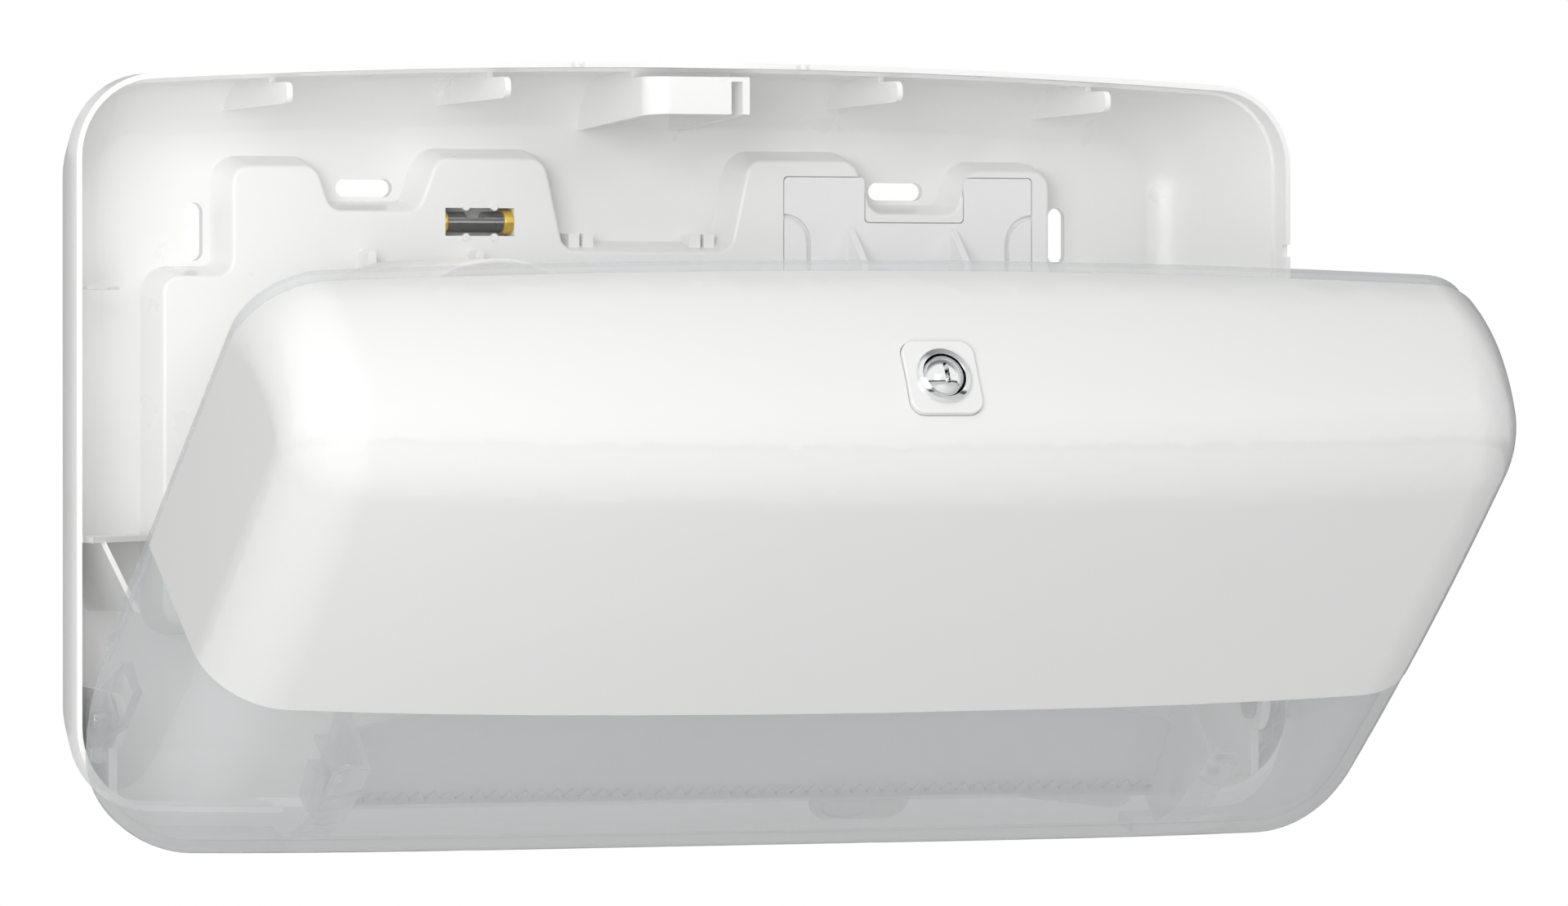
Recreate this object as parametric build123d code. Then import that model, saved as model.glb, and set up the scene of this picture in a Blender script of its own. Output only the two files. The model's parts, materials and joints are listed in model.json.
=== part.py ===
from build123d import *
from math import asin, atan2, cos, hypot, radians, sin, sqrt, tan
import os

# Double roll toilet paper dispenser, millimetres, +Z up.
# Depths are distances in front of the wall, so they run along -Y.
# Heights named "..._below" are distances below the top of the casing rim.
# The origin lies on the wall plane in the centre of the four wall slots.

# Wall fixing
slot_pitch_x = 197.2
slot_length = 20.5
slot_width = 6.0
upper_slot_below = 42.0
lower_slot_rise = 49.0
hanging_slot_inset = 62.5
hanging_slot_below = 57.0
hanging_slot_height = 19.5
hanging_slot_width = 6.5

# Casing dish
casing_width = 445.0
casing_height = 251.0
casing_depth = 58.8
casing_wall = 3.0
side_lean = 16.2
back_end_drop = 1.5
rim_corner_radius = 28.0
back_corner_gain = 9.0
back_edge_radius = 23.0
back_edge_sink = 0.8
lip_wall = 1.8
lip_depth = 9.0
top_arch_drop = 7.4
bottom_arch_rise = 3.5
exit_inset = 72.5
exit_back_depth = 24.0
exit_cut_height = 12.0

# Raised platform in two lobes
platform_depth = 16.0
platform_wall = 3.0
platform_draft_angle = 15.0
platform_radius = 6.0
platform_edge_radius = 1.5
platform_bottom_rise = 63.0
platform_outer_inset = 46.9
platform_shoulder_below = 72.0
platform_shoulder_inset = 71.7
platform_top_below = 35.0
notch_outer_top_x = 121.0
notch_outer_x = 115.6
notch_inner_x = 84.0
notch_below = 50.0
notch_inner_top_x = 77.0
lobe_top_below = 32.0
lobe_inner_x = 38.0
recess_half_width = 31.0
recess_below = 63.0
clip_x = 22.4
clip_width = 9.0
clip_slit = 1.2
clip_height = 6.0
clip_depth = 11.0

# Guide ribs under the top wall
inner_rib_x = 71.8
outer_rib_x = 149.9
rib_thickness = 2.0
rib_front_reach = 5.9
rib_top_below = 4.9
rib_foot_below = 11.9
rib_root_below = 13.3
rib_root_depth = 9.9
rib_nose_radius = 3.0
rib_lip_clearance = 1.4

# Latch keeper under the top wall
keeper_left_x = -20.5
keeper_right_x = 9.3
keeper_fin_x = 13.4
keeper_fin_end_x = 16.0
keeper_fin_thickness = 2.0
keeper_plate_reach = 3.4
keeper_plate = 2.8
keeper_top_below = 5.0
keeper_roof = 1.5
keeper_foot_below = 17.5
keeper_root_below = 21.8
keeper_root_depth = 6.6
keeper_bend_radius = 8.0
keeper_bend_inner = 5.6

# Shelves and notches on the side walls
ledge_below = 75.5
ledge_thickness = 1.2
ledge_rim_inset = 5.5
ledge_inner_inset = 29.5
ledge_back_depth = 20.0
shelf_rise = 93.0
shelf_thickness = 2.0
shelf_inner_inset = 42.5
gusset_top_inset = 12.5
gusset_foot_inset = 25.5
gusset_foot_rise = 68.0
gusset_front_depth = 50.0
gusset_thickness = 2.0
rim_notch_left_x = -44.2
rim_notch_right_x = 38.6
rim_notch_pitch = 3.4
rim_notch_width = 1.6
rim_notch_depth = 2.4
side_notch_below = 62.3
side_notch_height = 4.2
side_notch_reach = 7.2

# Spirit level in the left lobe
level_centre_x = -61.65
level_below = 53.4
level_window_length = 25.1
level_window_height = 9.4
level_floor_depth = 7.6
level_case_wall = 2.0
vial_radius = 4.25
vial_bore_radius = 3.5
vial_cap_left = 1.2
vial_cap_right = 3.4
vial_bubble_length = 6.5
vial_bubble_height = 2.2
nub_offset = 5.15
nub_radius = 1.3
nub_reach = 0.9
nub_proud = 0.5
nub_depth = 1.2

# Carrier plate let into the right lobe
carrier_left_x = 50.9
carrier_right_x = 144.2
carrier_top_below = 37.5
carrier_bottom_rise = 71.0
carrier_plate_thickness = 1.6
carrier_seam = 0.35
carrier_radius = 3.0
tongue_inset = 9.2
tongue_top_below = 50.0
tongue_bottom_below = 104.0
carrier_screw_inset = 6.0
carrier_screw_foot = 9.0
carrier_screw_lift = 35.0
tongue_slot = 1.7
buttress_left_x = 74.5
buttress_right_x = 113.0
buttress_thickness = 2.5
buttress_top_below = 54.5
buttress_front_depth = 28.0
buttress_knee_below = 66.5
buttress_chin_below = 71.0
buttress_back_depth = 21.5
buttress_heel_below = 75.0
buttress_bottom_rise = 99.0
finger_left_x = -105.5
finger_right_x = -66.5
finger_thickness = 3.0
finger_depth = 24.0
finger_top_below = 63.0
finger_bottom_below = 74.0
finger_radius = 1.4

# Spindles, hubs and the used-up roll
spindle_x = 96.0
spindle_below = 114.0
post_flange_radius = 18.0
post_flange_thickness = 3.0
post_radius = 8.0
post_front_setback = 5.0
post_bore_radius = 2.0
post_bore_depth = 14.0
post_screw_circle = 14.2
post_screw_radius = 1.6
post_screw_head_radius = 3.0
post_screw_head = 1.8
post_screw_length = 11.0
screw_boss_radius = 4.0
screw_clearance = 0.05
friction_radius = 11.0
friction_bore_radius = 8.3
friction_thickness = 5.4
hub_back_depth = 24.9
hub_bore_clearance = 0.06
hub_sleeve_radius = 11.0
hub_disc_radius = 38.0
hub_disc_back = 26.0
hub_disc_thickness = 3.0
hub_barrel_radius = 27.5
hub_barrel_wall = 2.5
hub_front_reach = 1.0
hub_sleeve_setback = 5.4
hub_web_setback = 12.0
hub_web_thickness = 2.5
hub_rib_reach = 2.0
hub_rib_width = 3.0
hub_rib_inset = 2.5
hub_rim_round = 1.0
washer_radius = 15.0
washer_thickness = 1.5
hub_screw_head_radius = 5.0
hub_screw_head = 3.0
hub_screw_shank_radius = 1.95
hub_screw_shank = 12.0
driver_slot_width = 1.2
driver_slot_depth = 0.9
roll_width = 86.0
core_thickness = 1.5
roll_radius = 47.5

# Hinge
hinge_setback = 1.3
hinge_rise = 32.75
open_angle = 47.16
ear_inner_inset = 14.5
ear_thickness = 3.0
ear_radius = 9.0
ear_back_depth = 20.0
ear_top_rise = 45.0
pin_radius = 3.0
pin_running_clearance = 0.06
pin_head_radius = 4.8
pin_head = 1.6
pin_end_inset = 5.3
arm_inner_inset = 9.0
arm_thickness = 2.5
arm_radius = 8.5
arm_rise = 34.0
arm_front = 16.0
arm_foot_inset = 3.9
stop_finger_reach = 14.0
stop_finger_width = 5.0
stop_peg_radius = 2.5
stop_gap = 0.35

# Cover form, described closed
cover_rear_gap = 0.5
cover_sweep_reach = 7.5
top_arc_radius = 75.9
top_arc_setback = 51.85
top_peak_rise = 3.7
brow_radius = 32.0
front_arc_radius = 1300.0
front_room = 19.5
front_peak_below = 35.0
front_peak_drop = 80.0
base_arc_radius = 72.0
base_drop = 2.1
cover_crown_sweep = 6.5
cover_side_setback = 4.5
cover_side_draft = 4.0
cover_side_reach = 5.5
cover_edge_radius = 27.0
shell_wall = 2.4
liner_wall = 2.0
band_setback = 0.3
band_middle_rise = 115.5
band_side_rise = 121.0
tongue_depth = 7.0
relief_distance = 4.5
relief_start_rise = 64.0
relief_radius = 50.0
relief_reach = 110.0
cover_exit_inset = 67.5
cover_exit_setback = 35.5
cover_exit_rise = 16.4
cut_reach = 30.0

# Lock and latch
lock_setback = 28.2
bezel_size = 25.5
bezel_corner = 5.0
bezel_proud = 1.0
bezel_seat = 1.6
bezel_fit = 0.15
bezel_neck = 21.0
bezel_neck_corner = 3.0
bezel_neck_length = 7.5
bezel_edge_round = 0.6
collar_radius = 9.4
collar_height = 1.4
collar_tube_radius = 8.6
collar_length = 15.5
collar_edge_round = 0.5
barrel_radius = 7.4
barrel_clearance = 0.06
barrel_length = 17.0
barrel_dome_height = 2.4
barrel_edge_height = 1.0
key_slot_length = 7.0
key_slot_width = 1.6
key_slot_depth = 5.0
nut_across = 22.0
nut_thickness = 4.0
cam_radius = 6.5
cam_thickness = 2.2
cam_lug_radius = 1.6
cam_lug_offset = 4.8
cam_lug_height = 4.0
latch_pivot_reach = 27.2
latch_pivot_below = 26.0
latch_pin_radius = 2.0
latch_pin_clearance = 0.06
latch_left_x = -12.0
latch_right_x = 2.5
latch_boss_radius = 5.0
latch_arm_height = 5.0
latch_nose_reach = 1.8
latch_nose_gap = 0.7
latch_nose_top_below = 11.0
latch_nose_lead = 2.5
latch_tail_setback = 7.3
latch_tail_height = 3.0
latch_travel_angle = 18.0
cheek_thickness = 2.0
cheek_gap = 0.8
cheek_half_depth = 7.0
cheek_foot = 6.5
bracket_back_reach = 16.0
bracket_front_reach = 4.0
bracket_rise = 7.4
bracket_plate = 2.0
pin_overhang = 1.0

# Exit chute, tear bar and shutter
chute_foot_setback = 31.5
chute_foot_rise = 41.0
chute_head_setback = 42.5
chute_head_rise = 91.0
chute_end_inset = 71.5
chute_end_height = 29.0
chute_plate = 2.0
chute_lobe_left_inset = 51.3
chute_lobe_low_inset = 14.5
chute_lobe_right_inset = 6.3
chute_lobe_start = 1.0
chute_lobe_drop = 6.4
chute_lobe_radius = 4.0
chute_prong_width = 5.4
chute_prong_radius = 2.5
chute_shell_gap = 0.4
bar_thickness = 2.0
bar_foot_height = 3.0
bar_land = 1.2
tooth_pitch = 5.5
tooth_height = 3.5
bracket_web = 2.5
bracket_width = 12.0
bracket_top_rise = 83.0
bracket_bottom_rise = 37.0
bracket_back_tail = 6.0
bracket_foot = 2.0
bracket_clip_width = 8.0
bracket_clip_low = 3.0
bracket_clip_height = 15.0
bracket_clip_depth = 9.0
bracket_rib = 2.0
bracket_rib_low = 16.0
bracket_rib_high = 26.0
bracket_screw_rise = 79.0
bracket_screw_pitch = 7.5
bracket_screw_radius = 2.4
bracket_screw_head = 1.6
rail_gap = 0.4
rail_lip = 1.6
rail_top = 3.0
rail_lap = 5.0
shutter_length = 210.0
shutter_centre_x = 45.0
shutter_plate = 1.8
shutter_height = 13.0
shutter_drop = 1.0
shutter_floor = 24.0
shutter_floor_plate = 1.8
tab_width = 36.0
tab_drop = 11.2
thumb_offset = -4.5
thumb_drop = 5.6
tab_radius = 7.5
thumb_radius = 9.0
thumb_height = 5.0
thumb_sink = 0.7

# Derived values
slot_pitch_z = casing_height - upper_slot_below - lower_slot_rise
rim_top_z = slot_pitch_z / 2 + upper_slot_below
half_width = casing_width / 2
back_half_width = half_width - side_lean
lip_start = casing_depth - lip_depth
platform_back = platform_depth - platform_wall
hinge_depth = casing_depth - hinge_setback
hinge_below = casing_height - hinge_rise
roll_back = hub_disc_back + hub_disc_thickness
roll_front = roll_back + roll_width
post_front_depth = roll_front - post_front_setback
hub_front_depth = roll_front + hub_front_reach
hub_sleeve_front = roll_front - hub_sleeve_setback
hub_web_back = roll_front - hub_web_setback
core_bore_radius = hub_barrel_radius + hub_rib_reach
front_depth = roll_front + front_room
cover_rear_depth = casing_depth + cover_rear_gap
cover_side_depth = casing_depth - cover_side_setback
cover_side_front = front_depth + cover_side_reach
cover_sweep_limit = half_width + cover_sweep_reach
past_front = cover_side_front + cut_reach
top_arc_depth = front_depth - top_arc_setback
lock_depth = front_depth - lock_setback
ear_inner_x = half_width - ear_inner_inset
arm_inner_x = half_width - arm_inner_inset
keeper_plate_back = casing_depth + keeper_plate_reach
keeper_plate_front = keeper_plate_back + keeper_plate
latch_pivot_depth = casing_depth + latch_pivot_reach
chute_foot_depth = front_depth - chute_foot_setback
chute_foot_below = casing_height - chute_foot_rise
chute_head_depth = front_depth - chute_head_setback
chute_head_below = casing_height - chute_head_rise
chute_half_width = half_width - chute_end_inset
relief_start_below = casing_height - relief_start_rise


def spot(x, depth, below):
    return Vector(x, -depth, rim_top_z - below)


def polygon(points):
    return Face(Wire.make_polygon(points, close=True))


def rounded(face, radius, vertices=None):
    return face.fillet_2d(radius, vertices or face.vertices())


def side_plate(points, x_from, x_to):
    """A plate square to X from an outline of (depth, below) pairs."""
    face = polygon([spot(x_from, d, b) for d, b in points])
    return extrude(face, amount=x_to - x_from, dir=(1, 0, 0))


def front_plate(points, depth_from, depth_to, radius=None):
    """A plate square to Y from an outline of (x, below) pairs."""
    face = polygon([spot(x, depth_from, b) for x, b in points])
    if radius:
        face = rounded(face, radius)
    return extrude(face, amount=depth_to - depth_from, dir=(0, -1, 0))


def block(x_from, x_to, depth_from, depth_to, below_from, below_to):
    corners = [(x_from, below_from), (x_to, below_from), (x_to, below_to), (x_from, below_to)]
    return front_plate(corners, depth_from, depth_to)


def rod_x(depth, below, radius, x_from, x_to):
    return Solid.make_cylinder(radius, x_to - x_from, Plane(spot(x_from, depth, below), z_dir=(1, 0, 0)))


def rod_y(x, below, radius, depth_from, depth_to):
    plane = Plane(spot(x, depth_from, below), z_dir=(0, -1, 0))
    return Solid.make_cylinder(radius, depth_to - depth_from, plane)


def slot_bar(x, below, length, width, depth_from, depth_to):
    """A round-ended bar along X, used to cut a slot."""
    reach = (length - width) / 2
    bar = block(x - reach, x + reach, depth_from, depth_to, below - width / 2, below + width / 2)
    for end in (x - reach, x + reach):
        bar = bar + rod_y(end, below, width / 2, depth_from, depth_to)
    return bar


def arch(x):
    """How far the arched top has dropped at x."""
    return top_arch_drop * (x / half_width) ** 2


def join(parts):
    whole = parts[0]
    for part in parts[1:]:
        whole = whole + part
    return whole


def near(value, target):
    """True within the width of a narrow slit."""
    return abs(value - target) < carrier_seam


# Casing

def casing_outline(depth, inset):
    """The rim outline at a depth, moved inwards by inset."""
    part_way = depth / lip_start
    half = back_half_width + (half_width - back_half_width) * part_way - inset
    drop = back_end_drop * (1 - part_way)
    top = drop + inset
    bottom = casing_height - drop - inset
    fall = top_arch_drop * (half / half_width) ** 2
    rise = bottom_arch_rise * (half / half_width) ** 2
    upper_left = spot(-half, depth, top + fall)
    upper_right = spot(half, depth, top + fall)
    lower_right = spot(half, depth, bottom - rise)
    lower_left = spot(-half, depth, bottom - rise)
    edges = [
        Edge.make_three_point_arc(upper_left, spot(0, depth, top), upper_right),
        Edge.make_line(upper_right, lower_right),
        Edge.make_three_point_arc(lower_right, spot(0, depth, bottom), lower_left),
        Edge.make_line(lower_left, upper_left),
    ]
    return rounded(Face(Wire(edges)), rim_corner_radius + back_corner_gain * (1 - part_way) - inset)


def dish(inset, depth_from, depth_to):
    """The drafted dish body: curved walls that meet the flat back in a shallow crease."""
    start = depth_from - back_edge_sink
    body = loft([casing_outline(start, inset), casing_outline(depth_to, inset)])
    back = [e for e in body.edges() if near(e.center().Y, -start)]
    body = fillet(back, back_edge_radius + casing_wall - inset)
    return body & block(-casing_width, casing_width, depth_from, depth_to, -casing_height, casing_height * 2)


def lip_band(inset, depth_to):
    return extrude(casing_outline(lip_start, inset), amount=depth_to - lip_start, dir=(0, -1, 0))


def casing_shell():
    outer = dish(0, 0, lip_start) + lip_band(0, casing_depth)
    hollow = dish(casing_wall, casing_wall, lip_start)
    return outer - hollow - lip_band(lip_wall, past_front)


def platform_outline(depth, inset):
    outer_x = half_width - platform_outer_inset
    shoulder_x = half_width - platform_shoulder_inset
    half = [
        (outer_x, casing_height - platform_bottom_rise),
        (outer_x, platform_shoulder_below),
        (shoulder_x, platform_shoulder_below),
        (shoulder_x, platform_top_below),
        (notch_outer_top_x, platform_top_below),
        (notch_outer_x, notch_below),
        (notch_inner_x, notch_below),
        (notch_inner_top_x, lobe_top_below),
        (lobe_inner_x, lobe_top_below),
        (recess_half_width, recess_below),
    ]
    points = half + [(-x, b) for x, b in reversed(half)]
    face = polygon([spot(x, depth, b) for x, b in points])
    if inset:
        face = Face(face.outer_wire().offset_2d(-inset, kind=Kind.INTERSECTION))
    return rounded(face, platform_radius - inset / 2)


def platform_body(depth, inset):
    taper_face = platform_outline(depth, inset)
    body = extrude(taper_face, amount=depth, dir=(0, 1, 0), taper=-platform_draft_angle)
    front = [e for e in body.edges() if near(e.center().Y, -depth)]
    return fillet(front, platform_edge_radius)


def guide_rib(x):
    """One curved plate that steers the cover home."""
    low = arch(x)
    near_lip = lip_start - rib_lip_clearance / 2
    rib_front_depth = casing_depth + rib_front_reach
    outline = [
        (0, rib_root_below + low),
        (0, 0),
        (near_lip, 0),
        (near_lip, rib_top_below + low),
        (rib_front_depth, rib_top_below + low),
        (rib_front_depth, rib_foot_below + low),
        (rib_root_depth, rib_root_below + low),
    ]
    face = polygon([spot(x - rib_thickness / 2, d, b) for d, b in outline])
    nose = [v for v in face.vertices() if near(v.Y, -rib_front_depth)]
    face = rounded(face, rib_nose_radius, nose)
    return extrude(face, amount=rib_thickness, dir=(1, 0, 0))


def keeper(room):
    """Bent wall, right fin and thin roof that the latch hooks behind."""
    roof_foot = keeper_top_below + keeper_roof
    near_lip = lip_start - rib_lip_clearance / 2
    profile = [
        (0, keeper_root_below),
        (0, 0),
        (near_lip, 0),
        (near_lip, keeper_top_below),
        (keeper_plate_front, keeper_top_below),
        (keeper_plate_front, keeper_foot_below),
        (keeper_root_depth, keeper_root_below),
    ]
    inner_x = keeper_left_x + keeper_fin_thickness
    plan = [(keeper_left_x, 0), (keeper_left_x, keeper_plate_front), (keeper_right_x, keeper_plate_front),
            (keeper_right_x, keeper_plate_back), (inner_x, keeper_plate_back), (inner_x, 0)]
    face = polygon([spot(x, d, 0) for x, d in plan])
    outer_corner = [v for v in face.vertices() if near(v.X, keeper_left_x) and near(v.Y, -keeper_plate_front)]
    face = rounded(face, keeper_bend_radius, outer_corner)
    inner_corner = [v for v in face.vertices() if near(v.X, inner_x) and near(v.Y, -keeper_plate_back)]
    face = rounded(face, keeper_bend_inner, inner_corner)
    bent_wall = extrude(face, amount=keeper_root_below, dir=(0, 0, -1))
    outside = side_plate(profile, keeper_left_x, keeper_fin_end_x)
    wall = bent_wall & outside & room
    fin = side_plate(profile, keeper_fin_x, keeper_fin_end_x) & room
    roof_back = lip_start - rib_lip_clearance - keeper_roof * 2
    roof_plan = [(keeper_left_x, 0), (keeper_left_x, keeper_plate_front),
                 (keeper_fin_end_x, keeper_plate_front), (keeper_fin_end_x, 0)]
    roof_face = polygon([spot(x, d, keeper_top_below) for x, d in roof_plan])
    roof_corner = [v for v in roof_face.vertices()
                   if near(v.X, keeper_left_x) and near(v.Y, -keeper_plate_front)]
    roof = extrude(rounded(roof_face, keeper_bend_radius, roof_corner), amount=keeper_roof, dir=(0, 0, -1))
    roof = roof & block(keeper_left_x, keeper_fin_end_x, roof_back, past_front, 0, roof_foot)
    wall_tie = block(keeper_left_x, keeper_fin_end_x, roof_back, near_lip, 0, roof_foot) & room
    return wall + fin + roof + wall_tie


def side_shelves(side, room):
    """The thin ledge, the deep shelf and its brace on one side wall."""
    def across(rows, below_from, below_to):
        face = polygon([spot(side * x, d, below_from) for x, d in rows])
        return extrude(face, amount=below_to - below_from, dir=(0, 0, -1))
    ledge_rim_x = half_width - ledge_rim_inset
    ledge_inner_x = half_width - ledge_inner_inset
    shelf_inner_x = half_width - shelf_inner_inset
    shelf_below = casing_height - shelf_rise
    ledge = [(half_width, 0), (ledge_inner_x, ledge_back_depth), (ledge_rim_x, casing_depth),
             (ledge_rim_x, lip_start), (half_width, lip_start)]
    shelf = [(half_width, 0), (shelf_inner_x, 0), (shelf_inner_x, platform_depth),
             (ledge_rim_x, casing_depth), (ledge_rim_x, lip_start), (half_width, lip_start)]
    ledge_body = across(ledge, ledge_below, ledge_below + ledge_thickness)
    shelf_body = across(shelf, shelf_below, shelf_below + shelf_thickness)
    gusset_top_x = half_width - gusset_top_inset
    gusset_foot_x = half_width - gusset_foot_inset
    gusset_foot_below = casing_height - gusset_foot_rise
    brace_points = [
        (side * gusset_top_x, shelf_below),
        (side * (gusset_top_x + gusset_thickness), shelf_below),
        (side * (gusset_foot_x + gusset_thickness), gusset_foot_below),
        (side * gusset_foot_x, gusset_foot_below),
    ]
    brace = front_plate(brace_points, 0, gusset_front_depth)
    return (ledge_body + shelf_body + brace) & room


def casing_ear(side, room):
    """The upright that carries one hinge pin, with the peg that stops the open cover."""
    x_from = min(side * ear_inner_x, side * (ear_inner_x + ear_thickness))
    x_to = x_from + ear_thickness
    ear_top_below = casing_height - ear_top_rise
    outline = [
        (ear_back_depth - ear_radius, ear_top_below),
        (hinge_depth, hinge_below - ear_radius),
        (hinge_depth, casing_height),
        (0, casing_height),
        (0, ear_top_below),
    ]
    plate = side_plate(outline, x_from, x_to) & room
    disc = rod_x(hinge_depth, hinge_below, ear_radius, x_from, x_to)
    peg_depth = hinge_depth - stop_finger_width / 2 - stop_gap - stop_peg_radius
    peg_below = hinge_below + stop_finger_reach - stop_peg_radius
    far = side * (arm_inner_x + arm_thickness)
    near_x = side * ear_inner_x
    peg = rod_x(peg_depth, peg_below, stop_peg_radius, min(near_x, far), max(near_x, far))
    bore = rod_x(hinge_depth, hinge_below, pin_radius, x_from - ear_thickness, x_to + ear_thickness)
    return plate + disc + peg - bore


def wall_slots():
    cuts = []
    for side in (-1, 1):
        for below in (upper_slot_below, upper_slot_below + slot_pitch_z):
            cuts.append(slot_bar(side * slot_pitch_x / 2, below, slot_length, slot_width,
                                 -casing_wall, casing_wall * 2))
        reach = (hanging_slot_height - hanging_slot_width) / 2
        x = side * (half_width - hanging_slot_inset)
        low, high = hanging_slot_below - reach, hanging_slot_below + reach
        half = hanging_slot_width / 2
        cuts.append(block(x - half, x + half, -casing_wall, casing_wall * 2, low, high))
        cuts.append(rod_y(x, low, half, -casing_wall, casing_wall * 2))
        cuts.append(rod_y(x, high, half, -casing_wall, casing_wall * 2))
    return cuts


def level_box(grow, depth_from, depth_to):
    half_length = level_window_length / 2 + grow
    half_height = level_window_height / 2 + grow
    return block(level_centre_x - half_length, level_centre_x + half_length, depth_from, depth_to,
                 level_below - half_height, level_below + half_height)


def post_screw_places(side):
    places = []
    for turn in (90, 210, 330):
        angle = radians(turn)
        x = side * spindle_x + post_screw_circle * cos(angle)
        places.append((x, spindle_below - post_screw_circle * sin(angle)))
    return places


def carrier_screw_places():
    x_in = carrier_left_x + tongue_inset + carrier_screw_inset
    x_out = carrier_right_x - tongue_inset - carrier_screw_inset
    low = casing_height - carrier_bottom_rise - carrier_screw_foot
    high = spindle_below + carrier_screw_lift
    return [(x_in, low), (x_out, low), (x_in, high), (x_out, high)]


def carrier_outline(depth, grow):
    high = carrier_top_below - grow
    left, right = carrier_left_x - grow, carrier_right_x + grow
    notch_out, notch_in = notch_outer_x + carrier_radius - grow, notch_inner_x - carrier_radius + grow
    notch_low = notch_below + carrier_radius - grow
    foot = casing_height - carrier_bottom_rise + grow
    points = [(left, high), (notch_in, high), (notch_in, notch_low), (notch_out, notch_low),
              (notch_out, high), (right, high), (right, foot), (left, foot)]
    face = polygon([spot(x, depth, b) for x, b in points])
    return rounded(face, carrier_radius / 2)


def snap_fingers():
    """Two small upright fingers on the left lobe."""
    fingers = []
    for x in (finger_left_x, finger_right_x):
        points = [(x, finger_top_below), (x + finger_thickness, finger_top_below),
                  (x + finger_thickness, finger_bottom_below), (x, finger_bottom_below)]
        face = polygon([spot(px, platform_back, b) for px, b in points])
        top = [v for v in face.vertices() if v.Z > rim_top_z - finger_top_below - finger_radius]
        face = rounded(face, finger_radius, top)
        fingers.append(extrude(face, amount=finger_depth - platform_back, dir=(0, -1, 0)))
    return fingers


def rear_casing():
    room = dish(casing_wall / 2, casing_wall / 2, past_front)
    body = casing_shell()
    body = body + (platform_body(platform_depth, 0) & room)
    body = body - platform_body(platform_back, platform_wall)
    ribs = [guide_rib(x) for x in (-outer_rib_x, -inner_rib_x, inner_rib_x, outer_rib_x)]
    body = body + (join(ribs) & room)
    body = body + keeper(room)
    for side in (-1, 1):
        body = body + side_shelves(side, room) + casing_ear(side, room)
    for x in (-clip_x, clip_x):
        clip = block(x - clip_width / 2, x + clip_width / 2, casing_wall / 2, clip_depth,
                     recess_below - clip_height, recess_below + casing_wall)
        body = body + (clip - block(x - clip_slit / 2, x + clip_slit / 2, casing_wall, clip_depth + clip_width,
                                    recess_below - clip_height * 2, recess_below))
    for finger in snap_fingers():
        body = body + finger
    body = body + level_box(level_case_wall, level_floor_depth - level_case_wall, platform_depth)
    body = body - level_box(0, level_floor_depth, past_front)
    for x in (-nub_offset, nub_offset):
        for up in (-1, 1):
            below = level_below + up * (level_window_height / 2 + nub_radius - nub_reach)
            body = body + rod_y(level_centre_x + x, below, nub_radius,
                                platform_depth - nub_depth, platform_depth + nub_proud)
    recess_back = platform_depth - carrier_plate_thickness
    recess_cut = extrude(carrier_outline(recess_back, carrier_seam), amount=platform_depth, dir=(0, -1, 0))
    body = body - recess_cut
    for x, below in post_screw_places(-1) + post_screw_places(1) + carrier_screw_places():
        boss_back = platform_depth - post_screw_length
        body = body + rod_y(x, below, screw_boss_radius, boss_back, recess_back)
        body = body - rod_y(x, below, post_screw_radius, 0, past_front)
    for cut in wall_slots():
        body = body - cut
    exit_half_width = half_width - exit_inset
    body = body - block(-exit_half_width, exit_half_width, exit_back_depth, past_front,
                        casing_height - exit_cut_height, casing_height + exit_cut_height)
    notch_back = casing_depth - rim_notch_depth
    for middle in (rim_notch_left_x, rim_notch_right_x):
        for x in (middle - rim_notch_pitch / 2, middle + rim_notch_pitch / 2):
            body = body - block(x - rim_notch_width / 2, x + rim_notch_width / 2,
                                notch_back, past_front, -top_arch_drop, keeper_top_below)
    return body - block(half_width - side_notch_reach, half_width + rim_notch_depth, notch_back, past_front,
                        side_notch_below - side_notch_height / 2, side_notch_below + side_notch_height / 2)


def carrier_plate():
    back = platform_depth - carrier_plate_thickness
    plate = extrude(carrier_outline(back, 0), amount=carrier_plate_thickness, dir=(0, -1, 0))
    radius = tongue_inset + tongue_slot / 2
    for edge_x, turn in ((carrier_left_x, 1), (carrier_right_x, -1)):
        centre = tongue_top_below + radius
        ring = rod_y(edge_x, centre, radius, 0, past_front)
        ring = ring - rod_y(edge_x, centre, radius - tongue_slot, 0, past_front)
        ring = ring & block(edge_x - radius * 2, edge_x + radius * 2, 0, past_front,
                            tongue_top_below - radius, centre)
        inner = edge_x + turn * (radius - tongue_slot)
        outer = edge_x + turn * radius
        straight = block(min(inner, outer), max(inner, outer), 0, past_front, centre, tongue_bottom_below)
        plate = plate - ring - straight
    buttress_bottom_below = casing_height - buttress_bottom_rise
    for x in (buttress_left_x, buttress_right_x):
        outline = [
            (back, buttress_top_below),
            (platform_depth, buttress_top_below),
            (buttress_front_depth, buttress_knee_below),
            (buttress_front_depth, buttress_chin_below),
            (buttress_back_depth, buttress_heel_below),
            (buttress_back_depth, buttress_bottom_below),
            (back, buttress_bottom_below + platform_wall),
        ]
        plate = plate + side_plate(outline, x, x + buttress_thickness)
    for x, below in post_screw_places(1) + carrier_screw_places():
        plate = plate - rod_y(x, below, post_screw_radius + screw_clearance, 0, platform_depth * 2)
    flange_room = rod_y(spindle_x, spindle_below, post_flange_radius + carrier_seam * 2,
                        platform_depth, past_front)
    return plate - flange_room


# Level

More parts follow.
